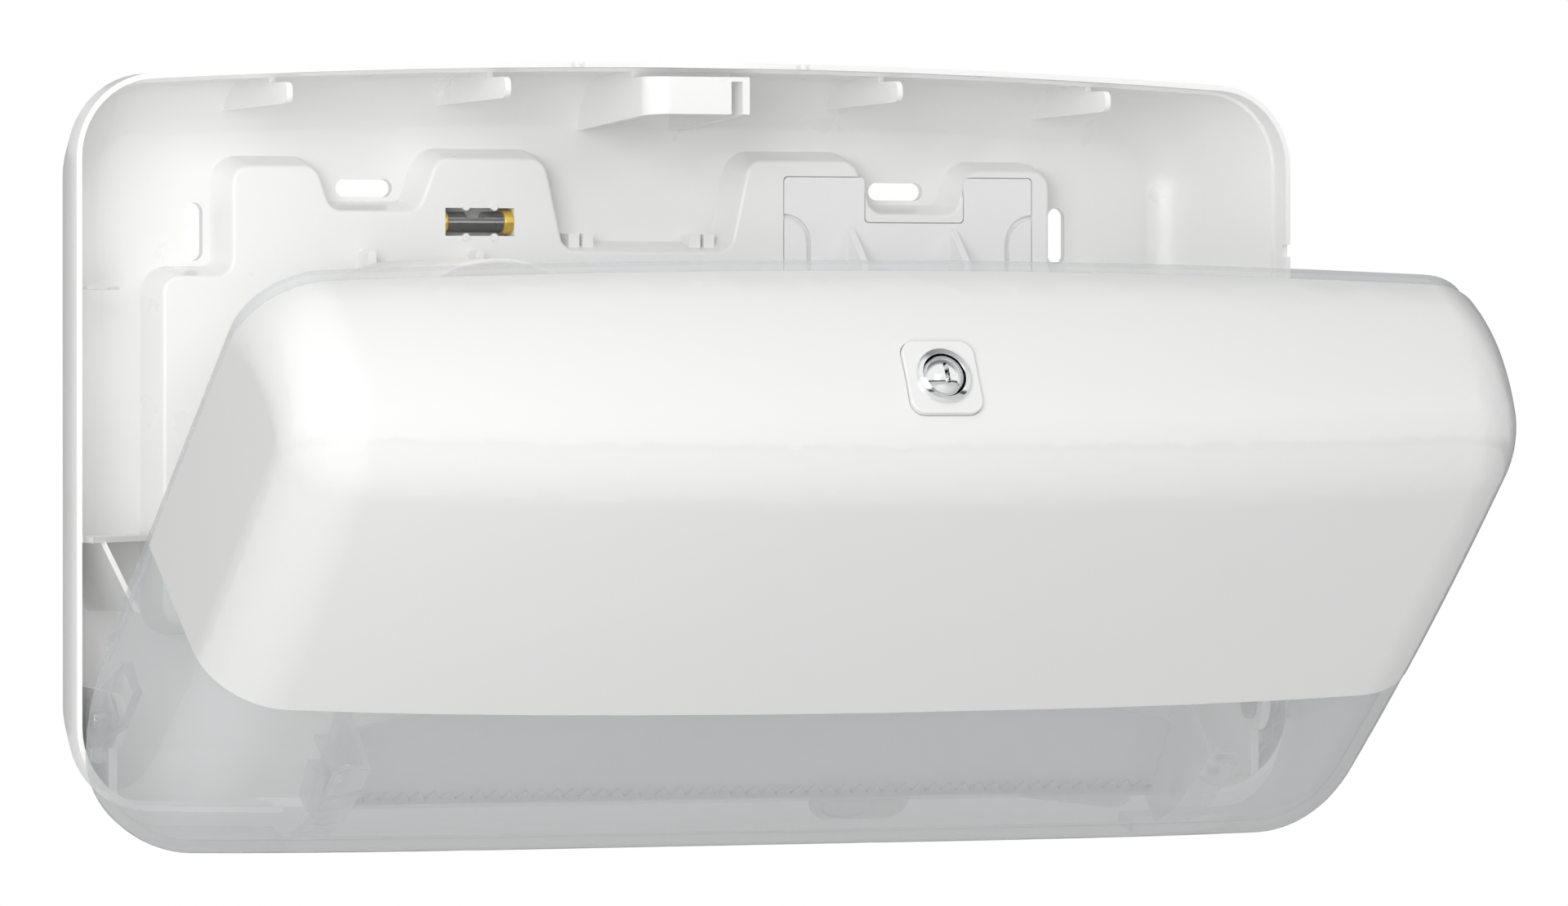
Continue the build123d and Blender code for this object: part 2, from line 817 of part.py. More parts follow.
def level_vial():
    centre_depth = level_floor_depth + vial_radius
    half = level_window_length / 2
    tube = rod_x(centre_depth, level_below, vial_radius,
                 level_centre_x - half + vial_cap_left, level_centre_x + half - vial_cap_right)
    bore = rod_x(centre_depth, level_below, vial_bore_radius,
                 level_centre_x - half, level_centre_x + half)
    return tube - bore


def level_fluid():
    centre_depth = level_floor_depth + vial_radius
    half = level_window_length / 2
    start = level_centre_x - half + vial_cap_left
    end = level_centre_x + half - vial_cap_right
    fluid = rod_x(centre_depth, level_below, vial_bore_radius, start, end)
    middle = (start + end) / 2
    top = level_below - vial_bore_radius
    return fluid - block(middle - vial_bubble_length / 2, middle + vial_bubble_length / 2,
                         0, platform_depth * 2, top - vial_radius, top + vial_bubble_height)


def level_caps():
    centre_depth = level_floor_depth + vial_radius
    half = level_window_length / 2
    left = rod_x(centre_depth, level_below, vial_radius,
                 level_centre_x - half, level_centre_x - half + vial_cap_left)
    right = rod_x(centre_depth, level_below, vial_radius,
                  level_centre_x + half - vial_cap_right, level_centre_x + half)
    return left + right


# Spindles and hubs

def spindle_post(side):
    x = side * spindle_x
    flange_front = platform_depth + post_flange_thickness
    post = rod_y(x, spindle_below, post_flange_radius, platform_depth, flange_front)
    post = post + rod_y(x, spindle_below, post_radius, platform_depth, post_front_depth)
    post = post - rod_y(x, spindle_below, post_bore_radius, post_front_depth - post_bore_depth,
                        past_front)
    for sx, below in post_screw_places(side):
        post = post - rod_y(sx, below, post_screw_radius + screw_clearance, 0, flange_front * 2)
    return post


def driver_slot(x, below, head_radius, depth_front):
    return block(x - head_radius * 2, x + head_radius * 2, depth_front - driver_slot_depth,
                 depth_front * 2, below - driver_slot_width / 2, below + driver_slot_width / 2)


def pan_screw(x, below, seat_depth):
    shank_back = platform_depth - post_screw_length + casing_wall
    head_front = seat_depth + post_screw_head
    screw = rod_y(x, below, post_screw_head_radius, seat_depth, head_front)
    screw = screw + rod_y(x, below, post_screw_radius - screw_clearance, shank_back, head_front)
    return screw - driver_slot(x, below, post_screw_head_radius, head_front)


def spindle_screws(side):
    seat = platform_depth + post_flange_thickness
    return Compound([pan_screw(x, b, seat) for x, b in post_screw_places(side)])


def carrier_screws():
    return Compound([pan_screw(x, b, platform_depth) for x, b in carrier_screw_places()])


def friction_ring(side):
    x = side * spindle_x
    seat = platform_depth + post_flange_thickness
    ring = rod_y(x, spindle_below, friction_radius, seat, seat + friction_thickness)
    return ring - rod_y(x, spindle_below, friction_bore_radius, 0, past_front)


def roll_hub(side):
    x = side * spindle_x
    hub = rod_y(x, spindle_below, hub_sleeve_radius, hub_back_depth, hub_sleeve_front)
    disc = rod_y(x, spindle_below, hub_disc_radius, hub_disc_back, roll_back)
    hub = hub + fillet(disc.edges(), hub_rim_round)
    hub = hub + rod_y(x, spindle_below, hub_barrel_radius, hub_disc_back, hub_front_depth)
    cavity = rod_y(x, spindle_below, hub_barrel_radius - hub_barrel_wall, roll_back, hub_front_depth)
    cavity = cavity - rod_y(x, spindle_below, hub_sleeve_radius, roll_back, hub_sleeve_front)
    hub = hub - cavity
    hub = hub + rod_y(x, spindle_below, hub_barrel_radius - hub_barrel_wall / 2, hub_web_back,
                      hub_web_back + hub_web_thickness)
    for turn in (0, 60, 120, 180, 240, 300):
        rib = block(x - hub_rib_width / 2, x + hub_rib_width / 2, roll_back,
                    hub_front_depth - hub_rib_inset,
                    spindle_below - core_bore_radius, spindle_below - hub_barrel_radius + hub_rib_reach / 2)
        rib = rib & rod_y(x, spindle_below, core_bore_radius, 0, past_front)
        hub = hub + rib.rotate(Axis(spot(x, 0, spindle_below), (0, 1, 0)), turn)
    bore = rod_y(x, spindle_below, post_radius + hub_bore_clearance, 0, past_front)
    return hub - bore


def hub_washer(side):
    x = side * spindle_x
    washer = rod_y(x, spindle_below, washer_radius, post_front_depth, post_front_depth + washer_thickness)
    return washer - rod_y(x, spindle_below, post_bore_radius, 0, past_front)


def hub_screw(side):
    x = side * spindle_x
    seat = post_front_depth + washer_thickness
    head_front = seat + hub_screw_head
    screw = rod_y(x, spindle_below, hub_screw_head_radius, seat, head_front)
    screw = screw + rod_y(x, spindle_below, hub_screw_shank_radius, seat - hub_screw_shank, head_front)
    return screw - driver_slot(x, spindle_below, hub_screw_head_radius, head_front)


def roll_core():
    core = rod_y(-spindle_x, spindle_below, core_bore_radius + core_thickness, roll_back, roll_front)
    return core - rod_y(-spindle_x, spindle_below, core_bore_radius, 0, past_front)


def stub_roll():
    roll = rod_y(-spindle_x, spindle_below, roll_radius, roll_back, roll_front)
    return roll - rod_y(-spindle_x, spindle_below, core_bore_radius + core_thickness, 0, past_front)


# Hinge pins

def hinge_pin(side):
    head_x = side * ear_inner_x
    inner_x = side * (ear_inner_x - pin_head)
    end_x = side * (half_width - pin_end_inset)
    head = rod_x(hinge_depth, hinge_below, pin_head_radius, min(head_x, inner_x), max(head_x, inner_x))
    shank = rod_x(hinge_depth, hinge_below, pin_radius, min(inner_x, end_x), max(inner_x, end_x))
    return head + shank


# Cover forms, described closed

def circle_join(c1, r1, c2, r2):
    """The meeting points of two circles in the depth and below plane."""
    dx, dz = c2[0] - c1[0], c2[1] - c1[1]
    gap = hypot(dx, dz)
    along = (r1 * r1 - r2 * r2 + gap * gap) / (gap * 2)
    across = sqrt(r1 * r1 - along * along)
    mx, mz = c1[0] + dx * along / gap, c1[1] + dz * along / gap
    return [(mx + dz * across / gap, mz - dx * across / gap),
            (mx - dz * across / gap, mz + dx * across / gap)]


def towards(centre, target, radius):
    dx, dz = target[0] - centre[0], target[1] - centre[1]
    gap = hypot(dx, dz)
    return (centre[0] + dx * radius / gap, centre[1] + dz * radius / gap)


def cover_centres(x):
    """Centres of the four profile arcs at x, as (depth, height above the rim top)."""
    swell = (x / half_width) ** 2
    top = (top_arc_depth, top_peak_rise - top_arc_radius - top_arch_drop * swell)
    front = (front_depth - front_arc_radius - cover_crown_sweep * swell,
             -front_peak_below - front_peak_drop * swell)
    base_height = base_arc_radius - base_drop - casing_height + bottom_arch_rise * swell
    reach = front_arc_radius - base_arc_radius
    slope = (front[1] - base_height) / reach
    base = (front[0] + reach * sqrt(1 - slope * slope), base_height)
    meets = circle_join(top, top_arc_radius - brow_radius, front, front_arc_radius - brow_radius)
    brow = max(meets, key=lambda p: p[1])
    return top, brow, front, base


def cover_section(x, inset):
    top, brow, front, base = cover_centres(x)
    top_r, brow_r = top_arc_radius - inset, brow_radius - inset
    front_r, base_r = front_arc_radius - inset, base_arc_radius - inset
    rise = sqrt(top_r * top_r - (cover_rear_depth - top[0]) ** 2)
    fall = sqrt(base_r * base_r - (cover_rear_depth - base[0]) ** 2)
    a = (cover_rear_depth, top[1] + rise)
    b = towards(top, brow, top_r)
    c = towards(front, brow, front_r)
    d = towards(front, base, front_r)
    e = (cover_rear_depth, base[1] - fall)

    def place(p):
        return Vector(x, -p[0], rim_top_z + p[1])

    def arc(p, q, centre, radius):
        middle = ((p[0] + q[0]) / 2, (p[1] + q[1]) / 2)
        return Edge.make_three_point_arc(place(p), place(towards(centre, middle, radius)), place(q))

    edges = [arc(a, b, top, top_r), arc(b, c, brow, brow_r), arc(c, d, front, front_r),
             arc(d, e, base, base_r), Edge.make_line(place(e), place(a))]
    return Face(Wire(edges))


def cover_form(inset):
    """The solid cover shape, all faces moved inwards by inset."""
    stations = (-cover_sweep_limit, -cover_sweep_limit / 2, 0, cover_sweep_limit / 2, cover_sweep_limit)
    body = loft([cover_section(x, inset) for x in stations])
    half_back = half_width - inset
    narrowing = (cover_side_front - cover_side_depth) * tan(radians(cover_side_draft))
    half_front = half_back - narrowing
    level = rim_top_z + casing_height / 2
    corners = [(-half_back, -cover_side_depth), (half_back, -cover_side_depth),
               (half_front, -cover_side_front), (-half_front, -cover_side_front)]
    prism = extrude(polygon([Vector(x, y, level) for x, y in corners]), amount=casing_height * 2,
                    dir=(0, 0, -1))
    body = body & prism
    sides = [f for f in body.faces() if abs(f.normal_at().X) > cos(radians(cover_side_draft * 3))]
    chain = []
    for face in sides:
        chain += [e for e in face.edges() if e.center().Y < -cover_rear_depth - shell_wall]
    return fillet(chain, cover_edge_radius - inset)


def relief_cut():
    """Room at the bottom of the cover, so that it clears the casing when it hangs open."""
    swing = radians(open_angle)
    along = (sin(swing), cos(swing))
    meet_below = hinge_below - (relief_distance - cos(swing) * (cover_rear_depth - hinge_depth)) / sin(swing)
    far = (cover_rear_depth + relief_reach * along[0], meet_below + relief_reach * along[1])
    behind = cover_rear_depth - cut_reach
    points = [(behind, relief_start_below), (cover_rear_depth, relief_start_below),
              (cover_rear_depth, meet_below), far, (behind, casing_height + relief_reach)]
    x_from = -cover_sweep_limit
    face = polygon([spot(x_from, d, b) for d, b in points])
    corner = [v for v in face.vertices()
              if abs(v.Y + cover_rear_depth) < stop_gap and v.Z < rim_top_z - relief_start_below - shell_wall]
    face = rounded(face, relief_radius, corner)
    return extrude(face, amount=cover_sweep_limit * 2, dir=(1, 0, 0))


def exit_cut():
    """The slot in the bottom of the cover through which the paper leaves."""
    base = cover_centres(0)[3]
    centre = (base[0], -base[1])
    edge = (front_depth - cover_exit_setback, casing_height - cover_exit_rise)
    reach = hypot(edge[0] - centre[0], edge[1] - centre[1])
    outer = towards(centre, edge, reach + cut_reach)
    inner = towards(centre, edge, reach - cut_reach)
    behind = cover_rear_depth - cut_reach
    points = [inner, outer, (behind, outer[1]), (behind, inner[1])]
    reach_x = half_width - cover_exit_inset
    return side_plate(points, -reach_x, reach_x)


def band_body():
    """Everything below the line where the white shell ends."""
    band_side_below = casing_height - band_side_rise
    band_middle_below = casing_height - band_middle_rise
    top_side = [spot(side * cover_sweep_limit, 0, band_side_below) for side in (-1, 1)]
    foot = [spot(side * cover_sweep_limit, 0, casing_height + cut_reach) for side in (-1, 1)]
    edges = [
        Edge.make_three_point_arc(top_side[0], spot(0, 0, band_middle_below), top_side[1]),
        Edge.make_line(top_side[1], foot[1]),
        Edge.make_line(foot[1], foot[0]),
        Edge.make_line(foot[0], top_side[0]),
    ]
    return extrude(Face(Wire(edges)), amount=past_front, dir=(0, -1, 0))


def rear_face(form):
    return [f for f in form.faces() if abs(f.center().Y + cover_rear_depth) < stop_gap][0]


def lock_plane():
    """Seat of the lock on the sloping top, local z out of the cover."""
    slope = asin((lock_depth - top_arc_depth) / top_arc_radius)
    height = top_peak_rise - top_arc_radius + top_arc_radius * cos(slope)
    return Plane(origin=spot(0, lock_depth, -height), x_dir=(1, 0, 0), z_dir=(0, -sin(slope), cos(slope)))


def lock_square(size, corner, z_from, z_to):
    square = RectangleRounded(size, size, corner)
    return lock_plane() * Pos(0, 0, z_from) * extrude(square, amount=z_to - z_from)


def lock_round(radius, z_from, z_to):
    return lock_plane() * Pos(0, 0, z_from) * extrude(Circle(radius), amount=z_to - z_from)


def cover_arm(side, inner):
    """Hinge arm of the cover with its stop finger."""
    x_from = min(side * arm_inner_x, side * (arm_inner_x + arm_thickness))
    x_to = x_from + arm_thickness
    top = hinge_below - arm_rise
    outline = [
        (hinge_depth, hinge_below + arm_radius),
        (hinge_depth - arm_radius, hinge_below),
        (cover_rear_depth + shell_wall, top),
        (cover_rear_depth + arm_front, top),
        (cover_rear_depth + arm_front, hinge_below - arm_radius * 2),
        (hinge_depth + arm_radius, hinge_below),
    ]
    plate = side_plate(outline, x_from, x_to)
    plate = plate + rod_x(hinge_depth, hinge_below, arm_radius, x_from, x_to)
    arm_foot_x = half_width - arm_foot_inset
    foot_from = min(side * arm_inner_x, side * arm_foot_x)
    foot_to = max(side * arm_inner_x, side * arm_foot_x)
    foot_outline = [
        (cover_rear_depth + shell_wall, top),
        (cover_rear_depth + arm_front, top),
        (cover_rear_depth + arm_front, hinge_below - arm_radius * 2),
        (cover_rear_depth + shell_wall, hinge_below - arm_radius * 2),
    ]
    foot = side_plate(foot_outline, foot_from, foot_to) & inner
    finger = side_plate([
        (hinge_depth - stop_finger_width / 2, hinge_below),
        (hinge_depth + stop_finger_width / 2, hinge_below),
        (hinge_depth + stop_finger_width / 2, hinge_below + stop_finger_reach),
        (hinge_depth - stop_finger_width / 2, hinge_below + stop_finger_reach),
    ], x_from, x_to)
    finger = finger.rotate(Axis(spot(0, hinge_depth, hinge_below), (-1, 0, 0)), open_angle)
    bore = rod_x(hinge_depth, hinge_below, pin_radius + pin_running_clearance,
                 x_from - arm_thickness, x_to + arm_thickness)
    return plate + foot + finger - bore


def make_shells():
    outer, middle, inner = cover_form(0), cover_form(shell_wall), cover_form(shell_wall + liner_wall)
    set_back = cover_form(band_setback)
    band = band_body()
    cuts = [relief_cut(), exit_cut()]
    seat = lock_square(bezel_size + bezel_fit * 2, bezel_corner, -bezel_seat, cut_reach)
    neck_hole = lock_square(bezel_neck + bezel_fit * 2, bezel_neck_corner, -bezel_neck_length * 2, cut_reach)
    white = outer - middle - band
    smoke = (middle - inner) + ((set_back - middle) & band)
    tongue_face = rear_face(middle) - rear_face(inner)
    smoke = smoke + extrude(tongue_face, amount=tongue_depth, dir=(0, 1, 0))
    for cut in cuts:
        white = white - cut
        smoke = smoke - cut
    white = white - seat - neck_hole
    smoke = smoke - neck_hole
    for side in (-1, 1):
        smoke = smoke + cover_arm(side, middle)
    return white, smoke, inner


# Lock and latch

def lock_bezel():
    plate = lock_square(bezel_size, bezel_corner, -bezel_seat, bezel_proud)
    top = plate.faces().sort_by(Axis((0, 0, 0), lock_plane().z_dir))[-1]
    plate = fillet(top.edges(), bezel_edge_round)
    neck = lock_square(bezel_neck, bezel_neck_corner, -bezel_neck_length, 0)
    return plate + neck - lock_round(collar_tube_radius + bezel_fit, -cut_reach, cut_reach)


def lock_collar():
    top = lock_round(collar_radius, bezel_proud, bezel_proud + collar_height)
    rim = top.faces().sort_by(Axis((0, 0, 0), lock_plane().z_dir))[-1]
    top = fillet(rim.edges(), collar_edge_round)
    tube = lock_round(collar_tube_radius, -collar_length, bezel_proud + collar_height / 2)
    return top + tube - lock_round(barrel_radius + barrel_clearance, -cut_reach, cut_reach)


def lock_barrel():
    """Turned barrel with a domed face, drawn as a half outline about the lock axis."""
    shoulder = bezel_proud + barrel_edge_height
    crown = shoulder + barrel_dome_height
    dome_radius = (barrel_radius ** 2 + barrel_dome_height ** 2) / (barrel_dome_height * 2)
    mid_x = barrel_radius / 2
    mid_z = crown - dome_radius + sqrt(dome_radius ** 2 - mid_x ** 2)
    foot, edge = Vector(0, 0, -barrel_length), Vector(barrel_radius, 0, -barrel_length)
    rim, top = Vector(barrel_radius, 0, shoulder), Vector(0, 0, crown)
    edges = [Edge.make_line(foot, edge), Edge.make_line(edge, rim),
             Edge.make_three_point_arc(rim, Vector(mid_x, 0, mid_z), top), Edge.make_line(top, foot)]
    body = revolve(Face(Wire(edges)), axis=Axis.Z)
    slot = Pos(0, 0, crown - key_slot_depth) * extrude(Rectangle(key_slot_width, key_slot_length),
                                                       amount=key_slot_depth * 2)
    return lock_plane() * (body - slot)


def lock_nut():
    nut = extrude(RegularPolygon(nut_across / 2, 6, major_radius=False), amount=nut_thickness)
    nut = lock_plane() * Pos(0, 0, -bezel_neck_length - nut_thickness) * nut
    return nut - lock_round(collar_tube_radius, -cut_reach, cut_reach)


def lock_cam():
    cam = lock_round(cam_radius, -barrel_length - cam_thickness, -barrel_length)
    lug = extrude(Circle(cam_lug_radius), amount=cam_lug_height)
    place = Pos(cam_lug_offset, 0, -barrel_length - cam_thickness - cam_lug_height)
    return cam + lock_plane() * place * lug


def latch_bracket(inner, inner_deep):
    left = latch_left_x - cheek_gap
    right = latch_right_x + cheek_gap
    cheek = [
        (latch_pivot_depth - cheek_half_depth, latch_pivot_below + cheek_foot),
        (latch_pivot_depth - cheek_half_depth, -bracket_rise),
        (latch_pivot_depth + cheek_foot - bracket_plate, -bracket_rise),
        (latch_pivot_depth + cheek_foot - bracket_plate, latch_pivot_below + cheek_foot),
    ]
    cheeks = side_plate(cheek, left - cheek_thickness, left) + side_plate(cheek, right, right + cheek_thickness)
    pad = block(left - cheek_thickness, right + cheek_thickness, latch_pivot_depth - bracket_back_reach,
                latch_pivot_depth + bracket_front_reach, -bracket_rise, latch_pivot_below) & (inner - inner_deep)
    bore = rod_x(latch_pivot_depth, latch_pivot_below, latch_pin_radius, -cut_reach, cut_reach)
    return (cheeks & inner) + pad - bore


def latch_lever():
    """The see-saw hook, drawn hooked and then let down to its released place."""
    width_from, width_to = latch_left_x, latch_right_x
    arm_top = latch_pivot_below - latch_arm_height / 2
    arm_foot = latch_pivot_below + latch_arm_height / 2
    nose_top = latch_nose_top_below
    latch_nose_back = casing_depth - latch_nose_reach
    latch_nose_front = keeper_plate_back - latch_nose_gap
    latch_tail_depth = lock_depth - latch_tail_setback
    outline = [
        (latch_nose_back, nose_top + latch_nose_lead),
        (latch_nose_front - latch_nose_lead, nose_top),
        (latch_nose_front, nose_top),
        (latch_nose_front, arm_top),
        (latch_tail_depth, arm_top),
        (latch_tail_depth, arm_top + latch_tail_height),
        (latch_pivot_depth + latch_boss_radius, arm_foot),
        (latch_nose_back, arm_foot),
    ]
    lever = side_plate(outline, width_from, width_to)
    lever = lever + rod_x(latch_pivot_depth, latch_pivot_below, latch_boss_radius, width_from, width_to)
    lever = lever - rod_x(latch_pivot_depth, latch_pivot_below, latch_pin_radius + latch_pin_clearance,
                          -cut_reach, cut_reach)
    axis = Axis(spot(0, latch_pivot_depth, latch_pivot_below), (-1, 0, 0))
    return lever.rotate(axis, latch_travel_angle)


def latch_pin():
    left = latch_left_x - cheek_gap - cheek_thickness - pin_overhang
    right = latch_right_x + cheek_gap + cheek_thickness + pin_overhang
    return rod_x(latch_pivot_depth, latch_pivot_below, latch_pin_radius, left, right)


# Exit chute

def chute_lean():
    return atan2(chute_foot_depth - chute_head_depth, chute_foot_below - chute_head_below)


def chute_plane():
    """Foot of the guide plate, local y up the plate and local z to the front."""
    lean = chute_lean()
    return Plane(origin=spot(0, chute_foot_depth, chute_foot_below), x_dir=(1, 0, 0),
                 z_dir=(0, -cos(lean), sin(lean)))


def chute_slab(points, z_from, z_to, radius=None):
    face = polygon([Vector(x, y, 0) for x, y in points])
    if radius:
        face = rounded(face, radius)
    return chute_plane() * Pos(0, 0, z_from) * extrude(face, amount=z_to - z_from, dir=(0, 0, 1))


def box_points(x_from, x_to, y_from, y_to):
    return [(x_from, y_from), (x_to, y_from), (x_to, y_to), (x_from, y_to)]


def guide_plate():
    height = hypot(chute_foot_depth - chute_head_depth, chute_foot_below - chute_head_below)
    left, right = Vector(-chute_half_width, 0, 0), Vector(chute_half_width, 0, 0)
    high_left = Vector(-chute_half_width, chute_end_height, 0)
    high_right = Vector(chute_half_width, chute_end_height, 0)
    edges = [Edge.make_line(left, right), Edge.make_line(right, high_right),
             Edge.make_three_point_arc(high_right, Vector(0, height, 0), high_left),
             Edge.make_line(high_left, left)]
    sheet = extrude(Face(Wire(edges)), amount=chute_plate, dir=(0, 0, 1))
    plate = chute_plane() * Pos(0, 0, -chute_plate) * sheet
    lobe_left_x = chute_half_width - chute_lobe_left_inset
    lobe_right_x = chute_half_width - chute_lobe_right_inset
    lobe = [
        (lobe_left_x, chute_end_height / 2),
        (lobe_left_x, -chute_lobe_start),
        (chute_half_width - chute_lobe_low_inset, -chute_lobe_drop),
        (lobe_right_x, -chute_lobe_drop),
        (lobe_right_x, chute_end_height / 2),
    ]
    plate = plate + chute_slab(lobe, -chute_plate, 0, chute_lobe_radius)
    prong = box_points(-chute_half_width, chute_prong_width - chute_half_width, -chute_lobe_drop, chute_lobe_drop)
    return plate + chute_slab(prong, -chute_plate, 0, chute_prong_radius)


def tear_bar():
    foot = chute_slab(box_points(-chute_half_width, chute_half_width, 0, bar_foot_height), 0, bar_thickness)
    count = int(chute_half_width * 2 / tooth_pitch)
    start = -count * tooth_pitch / 2
    points = [(start, bar_foot_height / 2)]
    for index in range(count):
        points.append((start + index * tooth_pitch, bar_foot_height))
        points.append((start + (index + 1 / 2) * tooth_pitch, bar_foot_height + tooth_height))
    points.append((-start, bar_foot_height))
    points.append((-start, bar_foot_height / 2))
    teeth = chute_slab(points, bar_land, bar_thickness)
    return foot + teeth


def end_bracket(side, inner, inner_deep):
    """Clear bracket that ties one end of the guide plate to the shell."""
    near_x = side * chute_half_width
    web_far = side * (chute_half_width + bracket_web)
    foot_far = side * (chute_half_width + bracket_width)
    clip_far = side * (chute_half_width + bracket_clip_width)
    bracket_top = casing_height - bracket_top_rise
    bracket_bottom = casing_height - bracket_bottom_rise
    outline = [
        (chute_head_depth, bracket_top),
        (cover_side_front, bracket_top),
        (cover_side_front, bracket_bottom),
        (chute_foot_depth - bracket_back_tail, bracket_bottom),
    ]
    web = side_plate(outline, min(near_x, web_far), max(near_x, web_far)) & inner
    foot = side_plate(outline, min(near_x, foot_far), max(near_x, foot_far)) & (inner - inner_deep)
    x_from, x_to = min(near_x, clip_far), max(near_x, clip_far)
    clip = chute_slab(box_points(x_from, x_to, bracket_clip_low, bracket_clip_low + bracket_clip_height),
                      -chute_plate, bracket_clip_depth - chute_plate)
    rib = chute_slab(box_points(x_from, x_to, bracket_rib_high, bracket_rib_high + bracket_rib),
                     -chute_plate, bracket_rib_low)
    return web + foot + (clip & inner) + (rib & inner)


def bracket_screws(inner_deep):
    """Short screws whose heads sit on the feet of the end brackets."""
    screws = []
    for side in (-1, 1):
        x = side * (chute_half_width + bracket_web + (bracket_width - bracket_web) / 2)
        centre = cover_centres(x)[2]
        radius = front_arc_radius - shell_wall - liner_wall - bracket_foot
        for below in (casing_height - bracket_screw_rise,
                      casing_height - bracket_screw_rise + bracket_screw_pitch):
            depth = centre[0] + sqrt(radius ** 2 - (-below - centre[1]) ** 2)
            head = rod_y(x, below, bracket_screw_radius, depth - bracket_screw_head,
                         depth + bracket_screw_head)
            screws.append((head & inner_deep).solids()[0])
    return Compound(screws)


def shutter_rail():
    """Hook-shaped rail behind the guide plate that holds the shutter by its top edge."""
    back = -chute_plate
    shutter_back = back - rail_gap - shutter_plate
    lip_front = shutter_back - rail_gap
    top_from = shutter_height + rail_gap
    spine = chute_slab(box_points(-chute_half_width, chute_half_width, top_from, top_from + rail_top),
                       lip_front - rail_lip, back)
    lip = chute_slab(box_points(-chute_half_width, chute_half_width, top_from - rail_lap, top_from + rail_top),
                     lip_front - rail_lip, lip_front)
    return spine + lip


def slide_shutter():
    front = -chute_plate - rail_gap
    back = front - shutter_plate
    half = shutter_length / 2
    strip = chute_slab(box_points(shutter_centre_x - half, shutter_centre_x + half,
                                  -shutter_drop, shutter_height), back, front)
    floor = chute_slab(box_points(shutter_centre_x - half, shutter_centre_x + half,
                                  -shutter_drop, -shutter_drop + shutter_floor_plate),
                       back - shutter_floor, front)
    tab_points = box_points(shutter_centre_x - tab_width / 2, shutter_centre_x + tab_width / 2,
                            -tab_drop, shutter_height / 2)
    tab = chute_slab(tab_points, back, front, tab_radius)
    dent = extrude(Ellipse(thumb_radius, thumb_height), amount=thumb_sink * 2)
    dent = chute_plane() * Pos(shutter_centre_x + thumb_offset, -thumb_drop, front - thumb_sink) * dent
    return strip + floor + tab - dent


def opened(shape):
    return shape.rotate(Axis(spot(0, hinge_depth, hinge_below), (1, 0, 0)), open_angle)


def one_solid(name, shape):
    solids = shape.solids()
    if len(solids) == 1:
        return solids[0]
    print(name, "has", len(solids), "solids", [round(s.volume) for s in solids])
    return Compound(list(solids))


def build():
    white, smoke, inner = make_shells()
    inner_deep = cover_form(shell_wall + liner_wall + bracket_foot)
    fixed = {
        "rear_casing": rear_casing(),
        "carrier_plate": carrier_plate(),
        "carrier_screws": carrier_screws(),
        "level_vial": level_vial(),
        "level_fluid": level_fluid(),
        "level_caps": level_caps(),
        "roll_core": roll_core(),
        "stub_roll": stub_roll(),
    }
    for side, name in ((-1, "left"), (1, "right")):
        fixed["spindle_post_" + name] = spindle_post(side)
        fixed["spindle_screws_" + name] = spindle_screws(side)
        fixed["friction_ring_" + name] = friction_ring(side)
        fixed["roll_hub_" + name] = roll_hub(side)
        fixed["hub_washer_" + name] = hub_washer(side)
        fixed["hub_screw_" + name] = hub_screw(side)
        fixed["hinge_pin_" + name] = hinge_pin(side)
    swung = {
        "front_shell": white,
        "smoke_shell": smoke,
        "lock_bezel": lock_bezel(),
        "lock_collar": lock_collar(),
        "lock_barrel": lock_barrel(),
        "lock_nut": lock_nut(),
        "lock_cam": lock_cam(),
        "latch_bracket": latch_bracket(inner, inner_deep),
        "latch_lever": latch_lever(),
        "latch_pin": latch_pin(),
        "guide_plate": guide_plate() & cover_form(shell_wall + liner_wall + chute_shell_gap),
        "tear_bar": tear_bar(),
        "end_bracket_left": end_bracket(-1, inner, inner_deep),
        "end_bracket_right": end_bracket(1, inner, inner_deep),
        "bracket_screws": bracket_screws(inner_deep),
        "shutter_rail": shutter_rail(),
        "slide_shutter": slide_shutter(),
    }
    for name, shape in swung.items():
        fixed[name] = opened(shape)
    return fixed


for node, shape in build().items():
    export_step(one_solid(node, shape), "parts/" + node + ".step")
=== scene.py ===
# %% [markdown]
# # A double roll toilet paper dispenser with its cover hanging open
#
# The measured model gives every rigid piece at its real size, in metres, hung on bodies
# that a physics engine can turn. This lesson dresses that model: it welds and rounds the
# measured meshes, models the soft roll, and mixes a finish for every material.
# The first step loads the frame.

import json
import math

import bmesh
import bpy
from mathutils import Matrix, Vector, noise

